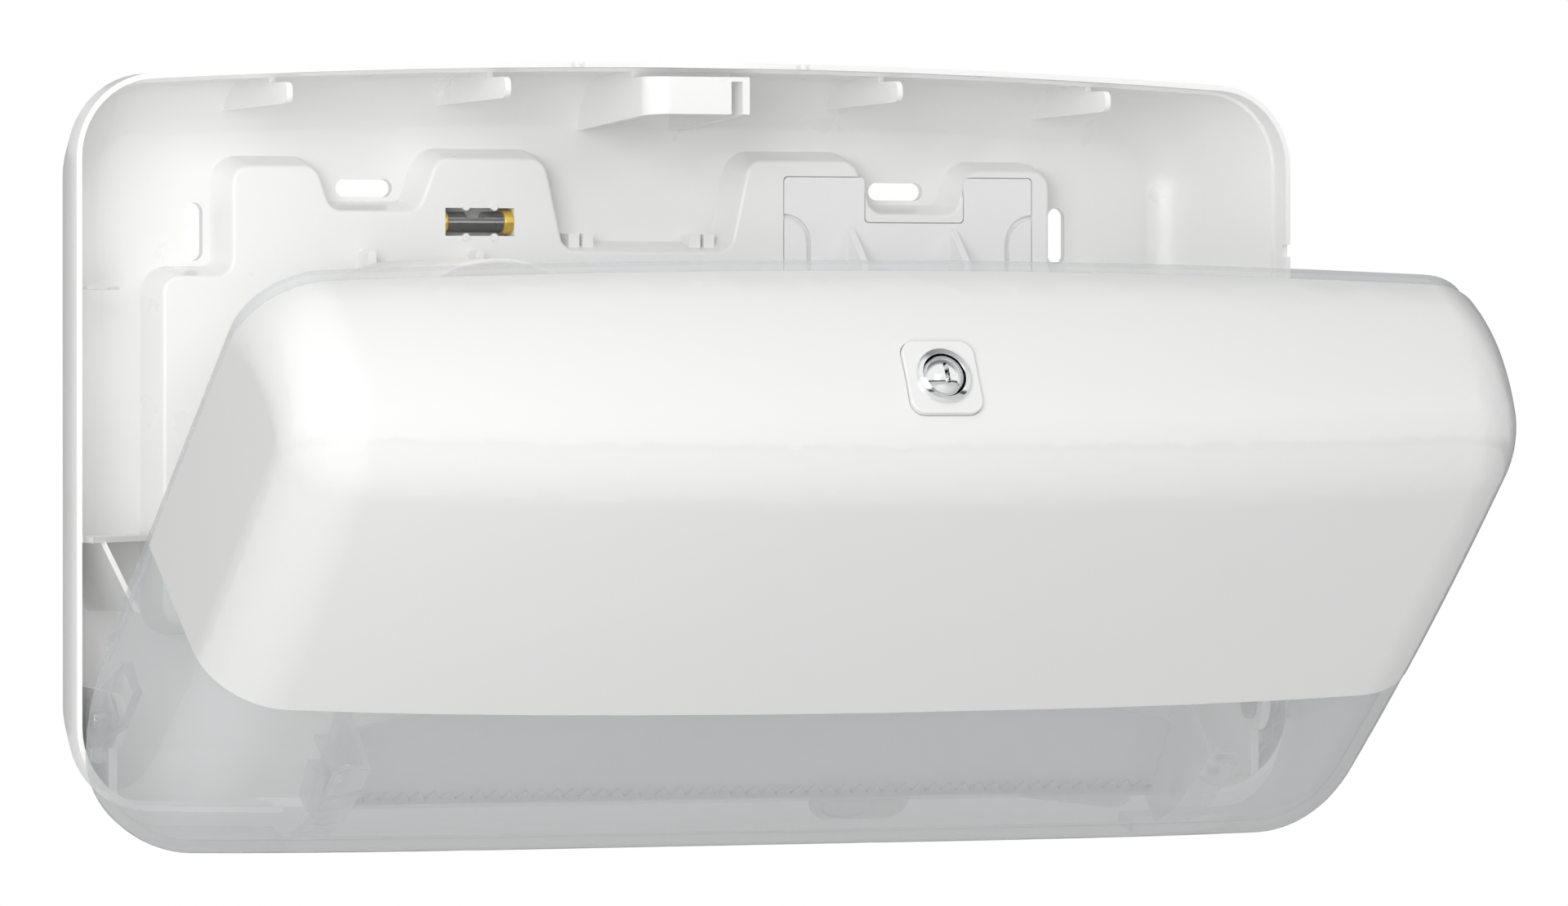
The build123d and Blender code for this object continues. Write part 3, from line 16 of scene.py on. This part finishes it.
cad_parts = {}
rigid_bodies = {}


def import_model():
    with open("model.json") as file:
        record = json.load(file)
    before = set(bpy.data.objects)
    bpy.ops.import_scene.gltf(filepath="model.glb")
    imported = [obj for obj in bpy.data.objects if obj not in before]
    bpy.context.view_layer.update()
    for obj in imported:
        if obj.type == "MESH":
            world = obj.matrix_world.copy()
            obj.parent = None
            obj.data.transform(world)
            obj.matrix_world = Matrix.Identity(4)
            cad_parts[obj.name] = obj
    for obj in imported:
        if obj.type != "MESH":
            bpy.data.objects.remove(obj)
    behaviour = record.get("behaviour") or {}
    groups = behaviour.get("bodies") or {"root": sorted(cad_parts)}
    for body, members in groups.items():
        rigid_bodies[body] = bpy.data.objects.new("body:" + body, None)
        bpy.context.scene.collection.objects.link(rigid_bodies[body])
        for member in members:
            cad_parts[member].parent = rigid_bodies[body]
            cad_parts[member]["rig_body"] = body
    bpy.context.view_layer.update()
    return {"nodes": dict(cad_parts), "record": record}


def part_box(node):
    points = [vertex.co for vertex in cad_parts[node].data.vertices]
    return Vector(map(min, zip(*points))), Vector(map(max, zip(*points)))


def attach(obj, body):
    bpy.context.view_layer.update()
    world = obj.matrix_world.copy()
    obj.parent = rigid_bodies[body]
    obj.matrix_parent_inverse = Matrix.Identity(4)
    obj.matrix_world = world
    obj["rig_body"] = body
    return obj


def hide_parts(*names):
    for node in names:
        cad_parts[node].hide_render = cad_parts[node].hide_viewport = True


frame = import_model()
nodes = frame["nodes"]
slot_of = {part["node"]: part["material_slot"] for part in frame["record"]["subparts"]}
MM = 0.001
print("loaded", len(nodes), "measured pieces")

# %% [markdown]
# ## Writing finishes as sums
#
# A shader graph can be wired by hand in the editor, which is easy to see but slow to
# repeat for a dozen plastics and metals. Here a small class wraps one socket, so that
# ordinary Python sums add the Math nodes, and a second class stands for one finish and
# adds any other node.

# %% A socket that can be added and multiplied
class Flow:
    """One number on its way through a finish."""

    def __init__(self, finish, socket):
        self.finish = finish
        self.socket = socket

    def sum(self, operation, first, second):
        node = self.finish.add("ShaderNodeMath", {"operation": operation},
                               {0: first, 1: second})
        return node.out("Value")

    def __add__(self, other):
        return self.sum("ADD", self, other)

    def __radd__(self, other):
        return self.sum("ADD", other, self)

    def __sub__(self, other):
        return self.sum("SUBTRACT", self, other)

    def __mul__(self, other):
        return self.sum("MULTIPLY", self, other)

    def __pow__(self, other):
        return self.sum("POWER", self, other)


class Step:
    """One node of a finish, with its outputs by name."""

    def __init__(self, finish, node):
        self.finish = finish
        self.node = node

    def out(self, name):
        return Flow(self.finish, self.node.outputs[name])


class Finish:
    """A material, with one Principled shader and the piece's own coordinates."""

    def __init__(self, name):
        self.material = bpy.data.materials.new(name)
        self.material.use_nodes = True
        self.tree = self.material.node_tree
        self.shader = self.tree.nodes["Principled BSDF"]
        self.place = self.add("ShaderNodeTexCoord").out("Object")

    def feed(self, socket, value):
        if isinstance(value, Flow):
            self.tree.links.new(value.socket, socket)
        else:
            socket.default_value = value

    def add(self, kind, settings=None, inputs=None):
        node = self.tree.nodes.new(kind)
        for name, value in (settings or {}).items():
            if name == "stops":
                ramp = node.color_ramp
                for index, (spot, colour) in enumerate(value):
                    stop = ramp.elements[index] if index < 2 else ramp.elements.new(spot)
                    stop.position = spot
                    stop.color = (*colour, 1)
            else:
                setattr(node, name, value)
        for name, value in (inputs or {}).items():
            self.feed(node.inputs[name], value)
        return Step(self, node)

    def set(self, **values):
        for name, value in values.items():
            self.feed(self.shader.inputs[name.replace("_", " ")], value)

    def noise(self, scale, detail=2.0, roughness=0.5, place=None):
        return self.add("ShaderNodeTexNoise", None, {
            "Vector": place or self.place, "Scale": scale, "Detail": detail,
            "Roughness": roughness}).out("Fac")

    def stretch(self, scales):
        return self.add("ShaderNodeMapping", None,
                        {"Vector": self.place, "Scale": scales}).out("Vector")

    def blend(self, factor, first, second):
        node = self.add("ShaderNodeMix", {"data_type": "RGBA"})
        for socket, value in zip((0, 6, 7), (factor, first, second)):
            self.feed(node.node.inputs[socket], value)
        return Flow(self, node.node.outputs[2])

    def relief(self, height, depth):
        """Feeds a height in metres of that depth to the shader's normal."""
        bump = self.add("ShaderNodeBump", None,
                        {"Height": height, "Strength": 1.0, "Distance": depth})
        self.set(Normal=bump.out("Normal"))


def colour(red, green, blue):
    return (red, green, blue, 1)


print("finish kit ready")

# %% [markdown]
# ## Moulded plastics
#
# Injection moulded plastic is never one flat colour. The melt flows in from a gate and
# leaves faint clouds, and the tool's polish shows as a very fine orange peel. Image scans
# could give that, but noise on object coordinates costs nothing and has no seams. The
# glossy cover gets a clear coat, the casing a softer shine, and the small inner pieces a
# satin grain.

# %% White plastics
def shaded(tint, share):
    """The same tint, a share as bright."""
    return colour(*[value * share for value in tint])


def moulded(name, tint, shine, coat, peel_size, peel_depth):
    finish = Finish(name)
    clouds = finish.noise(6.0, 3.0)
    finish.set(
        Base_Color=finish.blend(clouds, shaded(tint, 0.975), colour(*tint)),
        Roughness=shine + (finish.noise(45.0, 4.0) - 0.5) * (shine * 0.5),
        Coat_Weight=coat,
        Coat_Roughness=0.04,
        IOR=1.49,
    )
    finish.relief(finish.noise(1.0 / peel_size, 2.0), peel_depth)
    return finish.material


white_gloss = moulded("glossy_white_shell", (0.70, 0.70, 0.696), shine=0.16, coat=0.35,
                      peel_size=2.2 * MM, peel_depth=0.0035 * MM)
casing_white = moulded("satin_white_casing", (0.925, 0.925, 0.92), shine=0.30, coat=0.10,
                       peel_size=1.6 * MM, peel_depth=0.006 * MM)
white_satin = moulded("grained_white_fitting", (0.93, 0.93, 0.93), shine=0.42, coat=0.0,
                      peel_size=0.7 * MM, peel_depth=0.012 * MM)
print("white plastics mixed")

# %% [markdown]
# ## See-through plastics
#
# The lower band is smoke grey polycarbonate, so that the staff can see how much paper is
# left. Real refraction through thin moulded walls costs many light bounces, so the walls
# are made partly clear with alpha: each face lets most of the light pass and tints it a
# little, and a polished coat keeps the reflections crisp.

# %% Smoke and clear walls
def see_through(name, tint, cover, shine):
    finish = Finish(name)
    streaks = finish.noise(1.0, 3.0, 0.5, finish.stretch((9.0, 30.0, 30.0)))
    finish.set(
        Base_Color=finish.blend(streaks, shaded(tint, 0.94), colour(*tint)),
        Roughness=shine + finish.noise(60.0, 3.0) * shine,
        Alpha=cover + (streaks - 0.5) * 0.06,
        Coat_Weight=0.4,
        IOR=1.5,
    )
    finish.relief(finish.noise(420.0, 2.0), 0.004 * MM)
    return finish.material


smoke = see_through("smoke_grey_band", (0.64, 0.65, 0.66), cover=0.35, shine=0.06)
clear = see_through("clear_tear_bar", (0.80, 0.82, 0.83), cover=0.42, shine=0.10)
print("see-through plastics mixed")

# %% [markdown]
# ## Metals, rubber and the spirit level
#
# The lock is polished chrome, and the screws and pins are zinc plated steel with a fine
# drawn grain. The face of a real lock barrel swells a little, which bends the mirrored
# room into crescents. That could be cut into the mesh, but a smooth height about the
# lock's axis tilts the light in the same way and leaves the measured face alone. The
# level holds a dark liquid between amber caps in a clear vial.

# %% Metals and small finishes
lock_joint = next(joint for joint in frame["record"]["behaviour"]["joints"]
                  if joint["name"] == "lock_turn")


def dome(finish, radius):
    """Height in metres of a dome of that radius about the lock's axis."""
    def dot(first, second):
        return finish.add("ShaderNodeVectorMath", {"operation": "DOT_PRODUCT"},
                          {0: first, 1: second}).out("Value")

    offset = finish.add("ShaderNodeVectorMath", {"operation": "SUBTRACT"},
                        {0: finish.place, 1: lock_joint["pos_m"]}).out("Vector")
    along = dot(offset, lock_joint["axis"])
    return (dot(offset, offset) - along * along) * (-0.5 / radius)


def plated(name, tint, shine, grain, dome_radius=None):
    finish = Finish(name)
    drawn = finish.noise(1.0, 4.0, 0.6, finish.stretch(grain))
    finish.set(
        Base_Color=finish.blend(drawn, shaded(tint, 0.86), colour(*tint)),
        Metallic=1.0,
        Roughness=shine + (drawn - 0.5) * (shine * 0.8),
    )
    if dome_radius:
        finish.relief(dome(finish, dome_radius), 1.0)
    else:
        finish.relief(drawn, 0.003 * MM)
    return finish.material


chrome = plated("polished_chrome", (0.93, 0.935, 0.94), shine=0.07,
                grain=(900.0, 900.0, 900.0), dome_radius=9.5 * MM)
steel = plated("zinc_plated_steel", (0.62, 0.62, 0.61), shine=0.28,
               grain=(300.0, 2500.0, 2500.0))


def amber_finish():
    finish = Finish("amber_level_cap")
    swirl = finish.noise(260.0, 4.0)
    finish.set(
        Base_Color=finish.blend(swirl, colour(1.0, 0.74, 0.12), colour(0.42, 0.23, 0.02)),
        Roughness=0.16 + swirl * 0.1,
        Metallic=0.5,
        Coat_Weight=0.8,
    )
    return finish.material


def painted_highlight_liquid_finish():
    """A filled tube would gather the light into a band along its middle; here that is painted
    highlight in the colour: a bright line at mid-height and a lighter grey band above it.
    """
    finish = Finish("dark_liquid_with_painted_highlight")
    low, high = (Vector(corner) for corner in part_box("level_fluid"))
    height = finish.add("ShaderNodeSeparateXYZ", None, {"Vector": finish.place}).out("Z")
    share = (height - low.z) * (1.0 / (high.z - low.z))
    share = share + (finish.noise(300.0) - 0.5) * 0.02
    # Painted highlight: by height in the vial, a bright stripe across the middle and a lighter
    # grey band above it, over the dark liquid.
    painted_highlight_band = finish.add("ShaderNodeValToRGB", {"stops": [
        (0.0, (0.03, 0.032, 0.036)), (0.45, (0.06, 0.063, 0.068)),
        (0.475, (0.85, 0.86, 0.87)), (0.53, (0.85, 0.86, 0.87)),
        (0.56, (0.24, 0.245, 0.255)), (0.70, (0.22, 0.225, 0.235)),
        (0.73, (0.035, 0.036, 0.045)), (1.0, (0.03, 0.03, 0.045)),
    ]}, {"Fac": share}).out("Color")
    depth = finish.noise(90.0, 2.0)
    finish.set(
        Base_Color=finish.blend(depth * 0.3, painted_highlight_band, colour(0.035, 0.042, 0.055)),
        Roughness=0.05 + depth * 0.03,
        Coat_Weight=0.5,
    )
    return finish.material


def vial_finish():
    finish = Finish("level_vial")
    haze = finish.noise(120.0, 2.0)
    finish.set(
        Base_Color=finish.blend(haze, colour(0.80, 0.80, 0.72), colour(0.9, 0.9, 0.86)),
        Roughness=0.03 + haze * 0.03,
        Alpha=0.05 + haze * 0.04,
        Coat_Weight=0.6,
        IOR=1.5,
    )
    return finish.material


def rubber_finish():
    finish = Finish("brake_rubber")
    specks = finish.noise(700.0, 3.0)
    finish.set(
        Base_Color=finish.blend(specks, colour(0.02, 0.02, 0.021), colour(0.05, 0.05, 0.052)),
        Roughness=0.75 + specks * 0.15,
    )
    finish.relief(specks, 0.02 * MM)
    return finish.material


amber, liquid_with_painted_highlight = amber_finish(), painted_highlight_liquid_finish()
vial_glass, rubber = vial_finish(), rubber_finish()
print("metals and level mixed")

# %% [markdown]
# ## Paper and board
#
# Tissue is a soft web of short fibres with a pressed dot pattern, and at the ends of the
# roll its layers show as fine rings. The rings follow the distance from the roll's own
# axis, so the finish works that distance out from the object coordinates.

# %% Tissue and cardboard
layer_spacing = 0.45 * MM
roll_low, roll_high = (Vector(corner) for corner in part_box("stub_roll"))
roll_axis = (roll_low + roll_high) / 2
print("roll axis at", [round(value, 4) for value in roll_axis])


def tissue_finish():
    finish = Finish("soft_tissue")
    parts = finish.add("ShaderNodeSeparateXYZ", None, {"Vector": finish.place})
    across = parts.out("X") - roll_axis.x
    upright = parts.out("Z") - roll_axis.z
    distance = (across * across + upright * upright) ** 0.5
    layers = finish.add("ShaderNodeMath", {"operation": "SINE"},
                        {0: distance * (2 * math.pi / layer_spacing)}).out("Value")
    fibres = finish.noise(900.0, 5.0, 0.65)
    clouds = finish.noise(60.0, 3.0)
    finish.set(
        Base_Color=finish.blend(clouds, colour(0.80, 0.79, 0.77), colour(0.88, 0.875, 0.86)),
        Roughness=0.86 + fibres * 0.1,
    )
    finish.relief(fibres + layers * 0.35, 0.07 * MM)
    return finish.material


def board_finish():
    finish = Finish("grey_brown_board")
    fibres = finish.noise(1.0, 5.0, 0.65, finish.stretch((500.0, 120.0, 500.0)))
    finish.set(
        Base_Color=finish.blend(fibres, colour(0.32, 0.24, 0.16), colour(0.50, 0.40, 0.28)),
        Roughness=0.8 + fibres * 0.12,
    )
    finish.relief(fibres, 0.05 * MM)
    return finish.material


tissue, board = tissue_finish(), board_finish()
finish_of_slot = {
    "casing_white": casing_white, "white_gloss": white_gloss, "white_satin": white_satin,
    "smoke": smoke, "clear": clear, "chrome": chrome, "steel": steel, "vial_glass": vial_glass,
    "level_liquid": liquid_with_painted_highlight, "amber_cap": amber, "friction_rubber": rubber,
    "cardboard": board, "paper": tissue,
}
print(len(finish_of_slot), "finishes for", len(set(slot_of.values())), "slots")

# %% [markdown]
# ## Rounding the measured pieces
#
# The measured meshes are exact but have knife edges, and their triangles aren't joined.
# Light would break on every facet. A copy of each piece is welded, the triangles of each
# flat face are joined so that it stays flat, and the copy is shaded smoothly up to a chosen
# angle, and given a small bevel, because real moulded edges are a few tenths of
# a millimetre round and catch a thin line of light. The dish of the casing meets its back
# panel in a crease that is shallower than that angle, so its edges are marked one by one.

# %% Weld, smooth and bevel
weld_distance = 0.002 * MM
edge_width = 0.25 * MM
flat_within = math.radians(0.5)
sharp_from = 32
shallow_creases = {"rear_casing": (12.5, 17.6)}


def carry_over(node):
    """A welded and rounded copy of a measured piece, which it then stands for."""
    mesh = nodes[node].data.copy()
    mesh.name = node + "_mesh"
    piece = bpy.data.objects.new(node + "_shape", mesh)
    bpy.context.scene.collection.objects.link(piece)
    work = bmesh.new()
    work.from_mesh(mesh)
    bmesh.ops.remove_doubles(work, verts=work.verts, dist=weld_distance)
    bmesh.ops.dissolve_limit(work, verts=work.verts, edges=work.edges, angle_limit=flat_within)
    work.edges.index_update()
    from_angle, to_angle = shallow_creases.get(node, (sharp_from, 180))
    kept = [crease.index for crease in work.edges if len(crease.link_faces) == 2
            and from_angle < math.degrees(crease.calc_face_angle(0)) < to_angle]
    work.to_mesh(mesh)
    work.free()
    mesh.shade_smooth()
    mesh.set_sharp_from_angle(angle=math.radians(sharp_from))
    for index in kept:
        mesh.edges[index].use_edge_sharp = True
    bevel = piece.modifiers.new("soft_edges", "BEVEL")
    bevel.width = edge_width
    bevel.segments = 2
    bevel.limit_method = "ANGLE"
    bevel.angle_limit = math.radians(sharp_from)
    bevel.use_clamp_overlap = True
    normals = piece.modifiers.new("even_shading", "WEIGHTED_NORMAL")
    normals.keep_sharp = True
    mesh.materials.clear()
    mesh.materials.append(finish_of_slot[slot_of[node]])
    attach(piece, nodes[node]["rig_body"])
    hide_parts(node)
    return piece


carried = {node: carry_over(node) for node in sorted(nodes) if node != "stub_roll"}
print("carried over", len(carried), "pieces")

# %% [markdown]
# ## The used-up roll
#
# A real roll is never a clean cylinder: its edges are soft, its windings stand a little in
# and out at the ends, and the last sheet lies loose on it. A sculpted mesh could show this,
# but a spun outline with a few rings in its ends is easier to keep round. The outline is
# spun about the roll's own axis, its outer edges are bevelled, and then the windings and
# the surface are moved by tenths of a millimetre.

# %% Spin the roll
core_clearance = 0.05 * MM
end_clearance = 0.3 * MM
core_low, core_high = (Vector(corner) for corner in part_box("roll_core"))
outer_radius = (roll_high.x - roll_low.x) / 2
inner_radius = (core_high.x - core_low.x) / 2 + core_clearance
roll_front, roll_back = roll_low.y + end_clearance, roll_high.y - end_clearance
roll_middle = (roll_front + roll_back) / 2
close = 0.02 * MM


def on_rim(vert):
    """Whether a vertex lies on one of the two outer edges of the plain roll."""
    off_radius = abs(Vector((vert.co.x, vert.co.z)).length - outer_radius)
    off_end = min(abs(vert.co.y - roll_front), abs(vert.co.y - roll_back))
    return off_radius < close and off_end < close


def spun_paper():
    work = bmesh.new()
    corners = [(outer_radius, roll_back), (outer_radius, roll_front),
               (inner_radius, roll_front), (inner_radius, roll_back)]
    verts = [bmesh.ops.create_vert(work, co=(x, y, 0))["vert"][0] for x, y in corners]
    sides = [work.edges.new((verts[spot], verts[(spot + 1) % 4])) for spot in range(4)]
    bmesh.ops.subdivide_edges(work, edges=[sides[0], sides[2]], cuts=23)
    ends = [edge for edge in work.edges if abs(edge.verts[0].co.y - edge.verts[1].co.y) < MM]
    bmesh.ops.subdivide_edges(work, edges=ends, cuts=9)
    bmesh.ops.spin(work, geom=work.verts[:] + work.edges[:], cent=(0, 0, 0), axis=(0, 1, 0),
                   angle=2 * math.pi, steps=144, use_merge=True)
    bmesh.ops.remove_doubles(work, verts=work.verts, dist=0.01 * MM)
    bmesh.ops.recalc_face_normals(work, faces=work.faces)
    rims = [edge for edge in work.edges if all(on_rim(vert) for vert in edge.verts)]
    bmesh.ops.bevel(work, geom=rims, offset=0.9 * MM, offset_type="OFFSET", segments=3,
                    profile=0.5, affect="EDGES", material=-1)
    for vert in work.verts:
        flat = Vector((vert.co.x, 0, vert.co.z))
        depth = flat.length
        share = (depth - inner_radius) / (outer_radius - inner_radius)
        near_end = min(vert.co.y - roll_front, roll_back - vert.co.y) < 1.2 * MM
        if near_end and 0.03 < share < 0.97:
            ring = math.sin(depth / (1.7 * MM)) + 0.6 * math.sin(depth / (0.73 * MM))
            vert.co.y += (0.16 * MM) * ring * (1 if vert.co.y > roll_middle else -1)
        if share > 0.9:
            soft = noise.noise(vert.co / (22 * MM)) + 0.5 * noise.noise(vert.co / (9 * MM))
            vert.co += flat.normalized() * (0.28 * MM * (soft - 0.7))
    return work


def loose_sheet():
    """The last sheet: it lies on the roll, lifts a little and ends in a torn edge."""
    work = bmesh.new()
    bmesh.ops.create_grid(work, x_segments=48, y_segments=64, size=0.5)
    begin, sweep = math.radians(35), math.radians(-128)
    width = roll_back - roll_front - 1.6 * MM
    for vert in work.verts:
        along, across = vert.co.x + 0.5, vert.co.y
        if along > 0.97:
            along += 0.012 * math.sin(across * 210) + 0.02 * noise.noise((across * 9, 0, 0))
        turn = begin + sweep * along
        lift = 0.35 * MM + 2.2 * MM * max(0, along - 0.55) ** 2 / 0.2
        lift += 0.25 * MM * noise.noise((along * 5, across * 4, 3)) * along
        reach = outer_radius + lift
        vert.co = Vector((reach * math.cos(turn), roll_middle + across * width,
                          reach * math.sin(turn)))
    bmesh.ops.recalc_face_normals(work, faces=work.faces)
    bmesh.ops.solidify(work, geom=work.faces[:], thickness=0.22 * MM)
    return work


def settled(name, works, node):
    """Joins meshes drawn about the roll's axis into one piece at its real place."""
    mesh = bpy.data.meshes.new(name)
    whole = bmesh.new()
    for work in works:
        part = bpy.data.meshes.new(name + "_part")
        work.to_mesh(part)
        work.free()
        whole.from_mesh(part)
        bpy.data.meshes.remove(part)
    bmesh.ops.translate(whole, verts=whole.verts, vec=(roll_axis.x, 0, roll_axis.z))
    whole.to_mesh(mesh)
    whole.free()
    mesh.shade_smooth()
    mesh.set_sharp_from_angle(angle=math.radians(40))
    piece = bpy.data.objects.new(name, mesh)
    bpy.context.scene.collection.objects.link(piece)
    mesh.materials.append(finish_of_slot[slot_of[node]])
    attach(piece, nodes[node]["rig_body"])
    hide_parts(node)
    return piece


paper = settled("used_up_roll", [spun_paper(), loose_sheet()], "stub_roll")
print("roll of", len(paper.data.polygons), "faces, radius", round(outer_radius, 4), "m")

# %% [markdown]
# ## Camera
#
# The photograph was taken from the left with a long lens. Where the camera stood was
# worked out from the rim of the casing and the edge of the cover, so only its place,
# two angles and the lens are needed here.

# %% Camera
camera_place = (-1.49287, -3.42839, 0.01968)
turn_to_right = math.radians(24.34)
look_down = math.radians(0.448)
lens_length, film_width, farthest = 252.15, 36.0, 50.0
camera_data = bpy.data.cameras.new("studio_camera")
camera_data.sensor_width = film_width
camera_data.lens = lens_length
camera_data.clip_end = farthest
camera = bpy.data.objects.new("studio_camera", camera_data)
camera.location = camera_place
camera.rotation_euler = (math.pi / 2 - look_down, 0, -turn_to_right)
bpy.context.scene.collection.objects.link(camera)
bpy.context.scene.camera = camera
print("camera", round(Vector(camera_place).length, 3), "m from the origin")

# %% [markdown]
# ## Light and floor
#
# A white product on white needs light from nearly everywhere, but not equally, or every
# face turns the same tone. Here the sky is strongest from above, with less from the left
# and little from the right. Four softboxes shape it: a large low one in front opens up
# the inside of the casing, a near one at the left makes the tone fall off to the right,
# and weak ones above and at the right keep those sides from going grey. A map of a real
# studio would do the same, but smooth lobes have no seams and need no image. Mirror rays
# meet a plain bright room in front, a dark floor and a dim wall behind, which gives the
# chrome its contrast and keeps the sides of the casing from glaring. The product was
# cut out of its grey surroundings, so only a direct look past it meets plain white, and a
# look through the smoke band still meets the grey.

# %% Studio
aim = Vector((0, -0.08, 0.02))
floor_height, floor_radius = -1.2, 5.0


def softbox(name, place, size, power, mirrored=False):
    lamp = bpy.data.lights.new(name, "AREA")
    lamp.shape = "RECTANGLE"
    lamp.size, lamp.size_y = size
    lamp.energy = power
    holder = bpy.data.objects.new(name, lamp)
    holder.location = place
    holder.rotation_euler = (aim - Vector(place)).to_track_quat("-Z", "Y").to_euler()
    holder.visible_glossy = mirrored
    bpy.context.scene.collection.objects.link(holder)


class Sky:
    """The nodes of the world, added one by one."""

    def __init__(self, name):
        self.world = bpy.data.worlds.new(name)
        self.world.use_nodes = True
        self.tree = self.world.node_tree
        self.back = self.tree.nodes["Background"]
        self.way = self.add("ShaderNodeTexCoord").outputs["Generated"]

    def add(self, kind, settings=None, inputs=None):
        node = self.tree.nodes.new(kind)
        for name, value in (settings or {}).items():
            setattr(node, name, value)
        for name, value in (inputs or {}).items():
            if isinstance(value, bpy.types.NodeSocket):
                self.tree.links.new(value, node.inputs[name])
            else:
                node.inputs[name].default_value = value
        return node

    def lobe(self, towards, strength):
        """Light that is strongest from one side and gone past square to it."""
        dot = self.add("ShaderNodeVectorMath", {"operation": "DOT_PRODUCT"},
                       {0: self.way, 1: Vector(towards).normalized()})
        return self.ramp(dot.outputs["Value"], (-0.3, 1.0), (0.0, strength))

    def ramp(self, value, span, result):
        """A soft step from one result to the other while the value crosses the span."""
        return self.add("ShaderNodeMapRange", {"interpolation_type": "SMOOTHSTEP"}, {
            "Value": value, "From Min": span[0], "From Max": span[1],
            "To Min": result[0], "To Max": result[1]}).outputs["Result"]

    def plus(self, first, second):
        return self.add("ShaderNodeMath", {"operation": "ADD"},
                        {0: first, 1: second}).outputs[0]

    def choose(self, factor, first, second):
        return self.add("ShaderNodeMix", {"data_type": "RGBA"},
                        {0: factor, 6: first, 7: second}).outputs[2]


def surroundings(lobes, behind_band, ground, room, wall):
    """The sky, what the smoke band lets see, and the tones that mirrors meet."""
    sky = Sky("pale_studio")
    bpy.context.scene.world = sky.world
    light = 0.0
    for towards, strength in lobes:
        light = sky.plus(light, sky.lobe(towards, strength))
    ray = sky.add("ShaderNodeLightPath")
    parts = sky.add("ShaderNodeSeparateXYZ", None, {"Vector": sky.way}).outputs
    mirrored = sky.ramp(parts["Z"], (-0.16, -0.06), (ground, room))
    behind = sky.ramp(parts["Y"], (0.1, 0.5), (0.0, 1.0))
    mirrored = sky.choose(behind, mirrored, colour(wall, wall, wall))
    light = sky.choose(ray.outputs["Is Glossy Ray"], light, mirrored)
    passed = sky.add("ShaderNodeMath", {"operation": "GREATER_THAN"},
                     {0: ray.outputs["Transparent Depth"], 1: 0.5}).outputs[0]
    grey = colour(behind_band, behind_band, behind_band)
    seen = sky.choose(passed, colour(1, 1, 1), grey)
    light = sky.choose(ray.outputs["Is Camera Ray"], light, seen)
    sky.tree.links.new(light, sky.back.inputs["Color"])


def floor():
    work = bmesh.new()
    bmesh.ops.create_circle(work, cap_ends=True, segments=96, radius=floor_radius)
    bmesh.ops.translate(work, verts=work.verts, vec=(0, 0, floor_height))
    mesh = bpy.data.meshes.new("pale_floor")
    work.to_mesh(mesh)
    work.free()
    ground = bpy.data.objects.new("pale_floor", mesh)
    bpy.context.scene.collection.objects.link(ground)
    finish = Finish("pale_floor")
    finish.set(
        Base_Color=finish.blend(finish.noise(0.8), colour(0.80, 0.80, 0.80),
                                colour(0.83, 0.83, 0.83)),
        Roughness=0.7,
    )
    mesh.materials.append(finish.material)


left, right, up = (-1, 0, 0), (1, 0, 0), (0, 0, 1)
surroundings([(left, 0.385), (right, 0.133), (up, 0.747)], behind_band=0.46,
             ground=0.10, room=1.0, wall=0.22)
floor()
softbox("low_front_softbox", (-0.9, -2.2, -0.3), (1.2, 0.8), 16.7)
softbox("near_left_softbox", (-0.75, -1.0, 0.25), (0.6, 0.6), 5.3, mirrored=True)
softbox("high_softbox", (-0.6, -1.2, 1.3), (1.0, 0.6), 0.8)
softbox("right_softbox", (1.1, -1.5, 0.8), (0.9, 0.6), 3.9)
bpy.context.scene.view_settings.view_transform = "Standard"
lamps = [thing for thing in bpy.data.objects if thing.type == "LIGHT"]
print("studio lit with", len(lamps), "softboxes")
